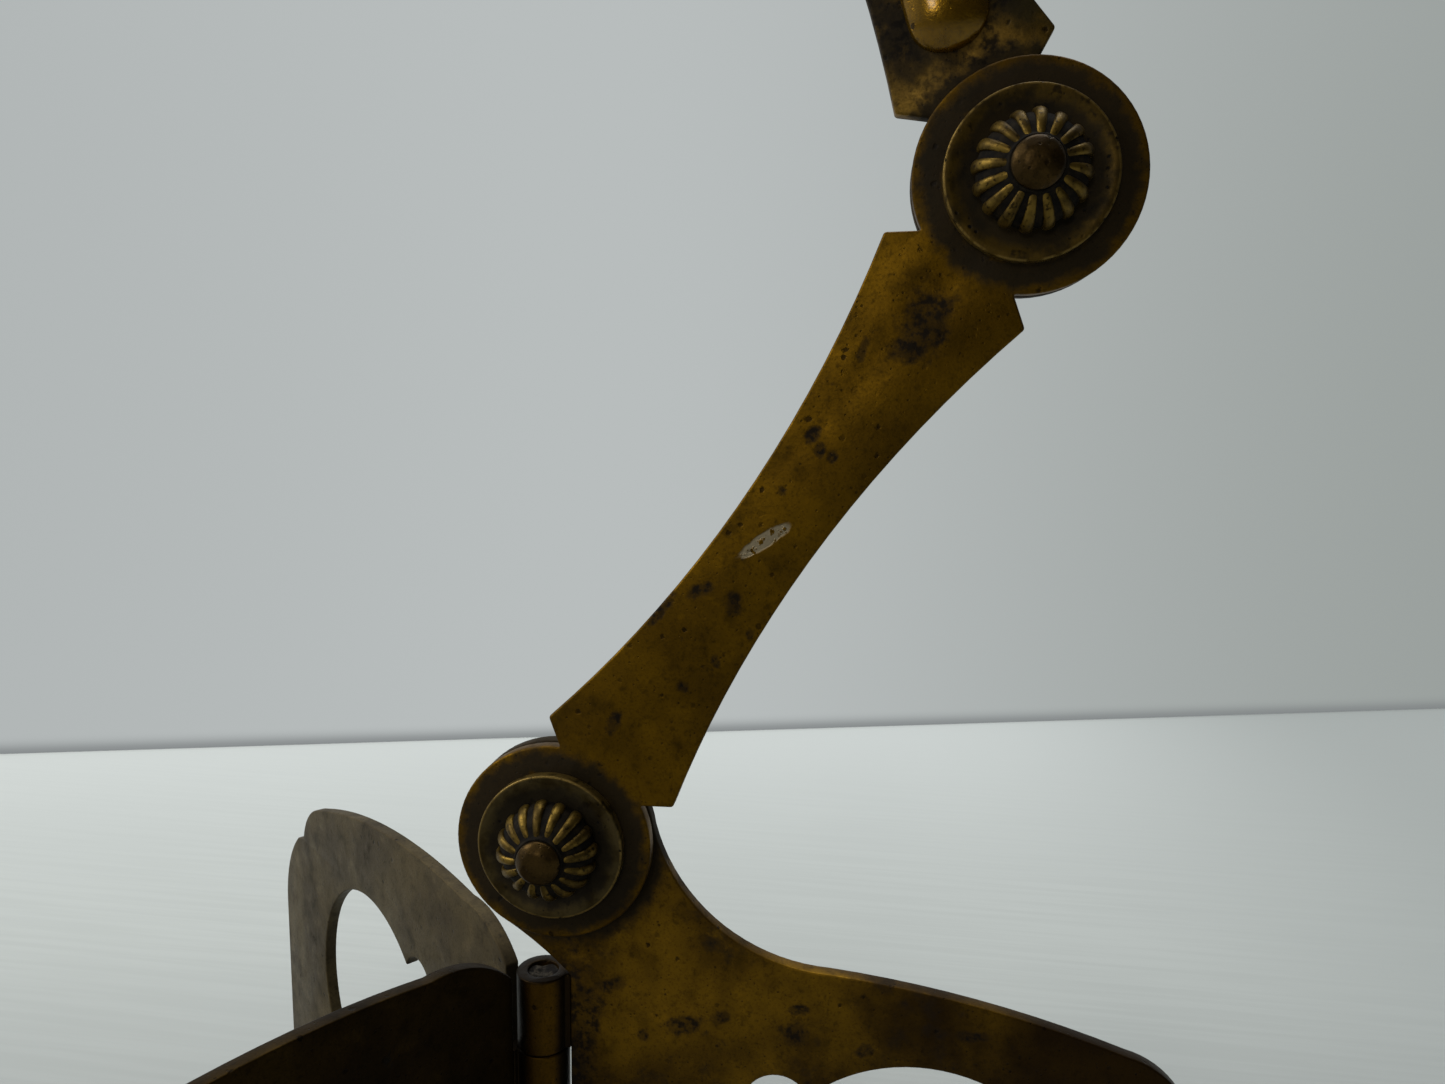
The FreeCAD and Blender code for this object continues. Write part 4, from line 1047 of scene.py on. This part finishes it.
# %% Post, ball, fork, beam and its pivot
balance_brass = old_brass("balance_brass", (146, 114, 46), (112, 84, 32), dirt=0.2, seed=17.0,
                          metal=0.7, rough=0.36, pitting=0.5)
post_mid, post_size = middle("post")
ends = [-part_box("post")[1].y / MM, -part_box("post")[0].y / MM]
post = spun("post", [
    (0.0, ends[0], 0), (2.0, ends[0], 0.2), (2.0, 3.5, 0), (3.4, 3.5, 0.3), (3.4, 4.7, 0.5),
    (2.0, 4.7, 0.1), (1.86, 6.4, 0.6), (1.86, 27.0, 0.6), (2.0, 28.9, 0.1), (3.4, 29.4, 0.5),
    (3.4, 30.6, 0.3), (2.0, 30.6, 0), (2.0, 33.4, 0), (1.2, 33.4, 0), (1.2, ends[1], 0.2),
    (0.0, ends[1], 0)], closed=False, steps=72)
post.transform(towards_front(post_mid.x, 0, post_mid.z))
smooth(post, 40)
show("post_turned", post, "post", [balance_brass])
low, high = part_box("post_finial")
back, tip = -high.y / MM, -low.y / MM
ball = 3.3
arc = [(ball * math.cos(math.radians(turn)), tip - ball + ball * math.sin(math.radians(turn)), 0)
       for turn in range(-44, 90, 7)]
finial = spun("finial", [(1.2, back, 0), (3.4, back, 0.25), (3.4, back + 0.9, 0.4),
                         (2.3, back + 1.2, 0.1), *arc, (0.0, tip, 0), (0.0, back + 2.5, 0),
                         (1.2, back + 2.5, 0)], closed=True, steps=72)
finial.transform(towards_front(post_mid.x, 0, post_mid.z))
smooth(finial, 40)
show("post_finial_turned", finial, "post_finial", [balance_brass])
for node, width in (("fork", 0.28), ("beam", 0.25), ("beam_pivot", 0.2)):
    worn(node, "_filed", balance_brass, edges["small"], width, sharp=36)
print("post of", round(post_size.y / MM, 1), "mm, beam of", round(middle("beam")[1].x / MM, 1), "mm")

# %% [markdown]
# ## The wire bows
#
# A bow is one length of wire: a ring through the beam's end, then an arch whose legs go down to
# the pan's rim. A wire is a path and a thickness, so Geometry Nodes again: `Curve to Mesh` sweeps
# a circle along each path, and the tree's inputs are the two thicknesses.

# %% Bend the wire
RING_RADIUS, RING_WIRE, ARCH_WIRE = 3.0 * MM, 1.4 * MM, 1.6 * MM


def wire_tree():
    graph = ShapeGraph("wire_along_a_path", {"Thickness": ("Float", ARCH_WIRE),
                                             "Sides": ("Int", 16)})
    ring = graph.node("GeometryNodeCurvePrimitiveCircle", None, {
        "Resolution": graph.given["Sides"], "Radius": graph.given["Thickness"] * 0.5})
    curve = graph.node("GeometryNodeMeshToCurve", None, {"Mesh": graph.given["Geometry"]})
    wire = graph.node("GeometryNodeCurveToMesh", None, {
        "Curve": curve, "Profile Curve": ring, "Fill Caps": True})
    wire = graph.node("GeometryNodeSetShadeSmooth", None, {"Geometry": wire})
    wire = graph.node("GeometryNodeRealizeInstances", None, {"Geometry": wire})
    return graph.end(graph.node("GeometryNodeSetMaterial", {}, {"Geometry": wire,
                                                                "Material": wire_brass}))


def round_path(centre, height, radius, turns):
    """Points of an arc in the YZ plane through a centre, about a given height."""
    return [Vector((centre.x, centre.y + radius * math.cos(turn), height + radius * math.sin(turn)))
            for turn in turns]


def path_mesh(name, points, closed):
    mesh = bpy.data.meshes.new(name)
    runs = [(i, i + 1) for i in range(len(points) - 1)] + ([(len(points) - 1, 0)] if closed else [])
    mesh.from_pydata(points, runs, [])
    return mesh


def combined(meshes, name):
    shape = bmesh.new()
    for mesh in meshes:
        shape.from_mesh(mesh)
    return mesh_of(shape, name)


wire_brass = old_brass("wire_brass", (150, 120, 50), (108, 82, 34), dirt=0.25, seed=19.0,
                       metal=0.75, rough=0.34, pitting=0.4)
wiring = wire_tree()
for side in ("left", "right"):
    node = "bow_" + side
    low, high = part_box(node)
    centre = (low + high) / 2
    wide = (high.y - low.y) / 2 - ARCH_WIRE / 2
    ring_height = high.z - RING_RADIUS - RING_WIRE / 2
    ring = round_path(centre, ring_height, RING_RADIUS, [math.tau * i / 40 for i in range(40)])
    arch = [Vector((centre.x, centre.y + wide, low.z)),
            *round_path(centre, ring_height - RING_RADIUS - wide, wide,
                        [math.pi * i / 48 for i in range(49)]),
            Vector((centre.x, centre.y - wide, low.z))]
    pieces = [through_tree(path_mesh("ring", ring, True), wiring, "ring", {"Thickness": RING_WIRE}),
              through_tree(path_mesh("arch", arch, False), wiring, "arch", {"Thickness": ARCH_WIRE})]
    bow = combined(pieces, node + "_bent")
    smooth(bow, 50)
    show(node + "_bent", bow, node, [wire_brass])
print("arch of", round(2 * wide / MM, 1), "mm")

# %% Pans
pan_brass = old_brass("pan_brass", (152, 120, 48), (120, 90, 36), dirt=0.3, seed=21.0, metal=0.7,
                      rough=0.33, pitting=0.5)
for side in ("left", "right"):
    node = "pan_" + side
    centre, size = middle(node)
    depth, wide = size.z / MM, size.x / 2 / MM
    profile = [(0.0, 0.0, 0), (8.4, 0.0, 1.2), (12.6, 0.9, 2.0), (16.6, 3.1, 1.4),
               (18.0, depth - 2.1, 0.6), (wide - 0.35, depth - 1.7, 0.5), (wide, depth - 0.9, 0.5),
               (wide - 0.4, depth - 0.15, 0.45), (18.3, depth, 0.4), (17.7, depth - 0.5, 0.4),
               (17.1, depth - 1.8, 0.5), (15.8, 3.9, 1.4), (12.2, 1.85, 2.0), (8.2, 0.9, 1.2),
               (0.0, 0.9, 0)]
    mesh = spun(node, profile, closed=False, steps=128)
    mesh.transform(Matrix.Translation(centre - Vector((0, 0, size.z / 2))))
    smooth(mesh, 50)
    show(node + "_spun", mesh, node, [pan_brass])
print("pans of", round(2 * wide, 1), "mm")

# %% [markdown]
# ## The pieces that stay as they are
#
# The flat washers between the plates and under the rivets' tails, and the hinge pin, are simple
# and mostly hidden. Their CAD meshes are right already, so they keep them and only get a finish.

# %% Washers and pin
washer_dull = old_brass("washer_brass", (100, 78, 36), (70, 54, 28), dirt=0.5, seed=23.0,
                        metal=0.5, rough=0.5)
kept = [node for node in sorted(nodes) if not nodes[node].hide_render]
for node in kept:
    mesh = nodes[node].data
    mesh.materials.clear()
    mesh.materials.append(pin_brass if node == "hinge_pin" else washer_dull)
print("kept:", ", ".join(kept))
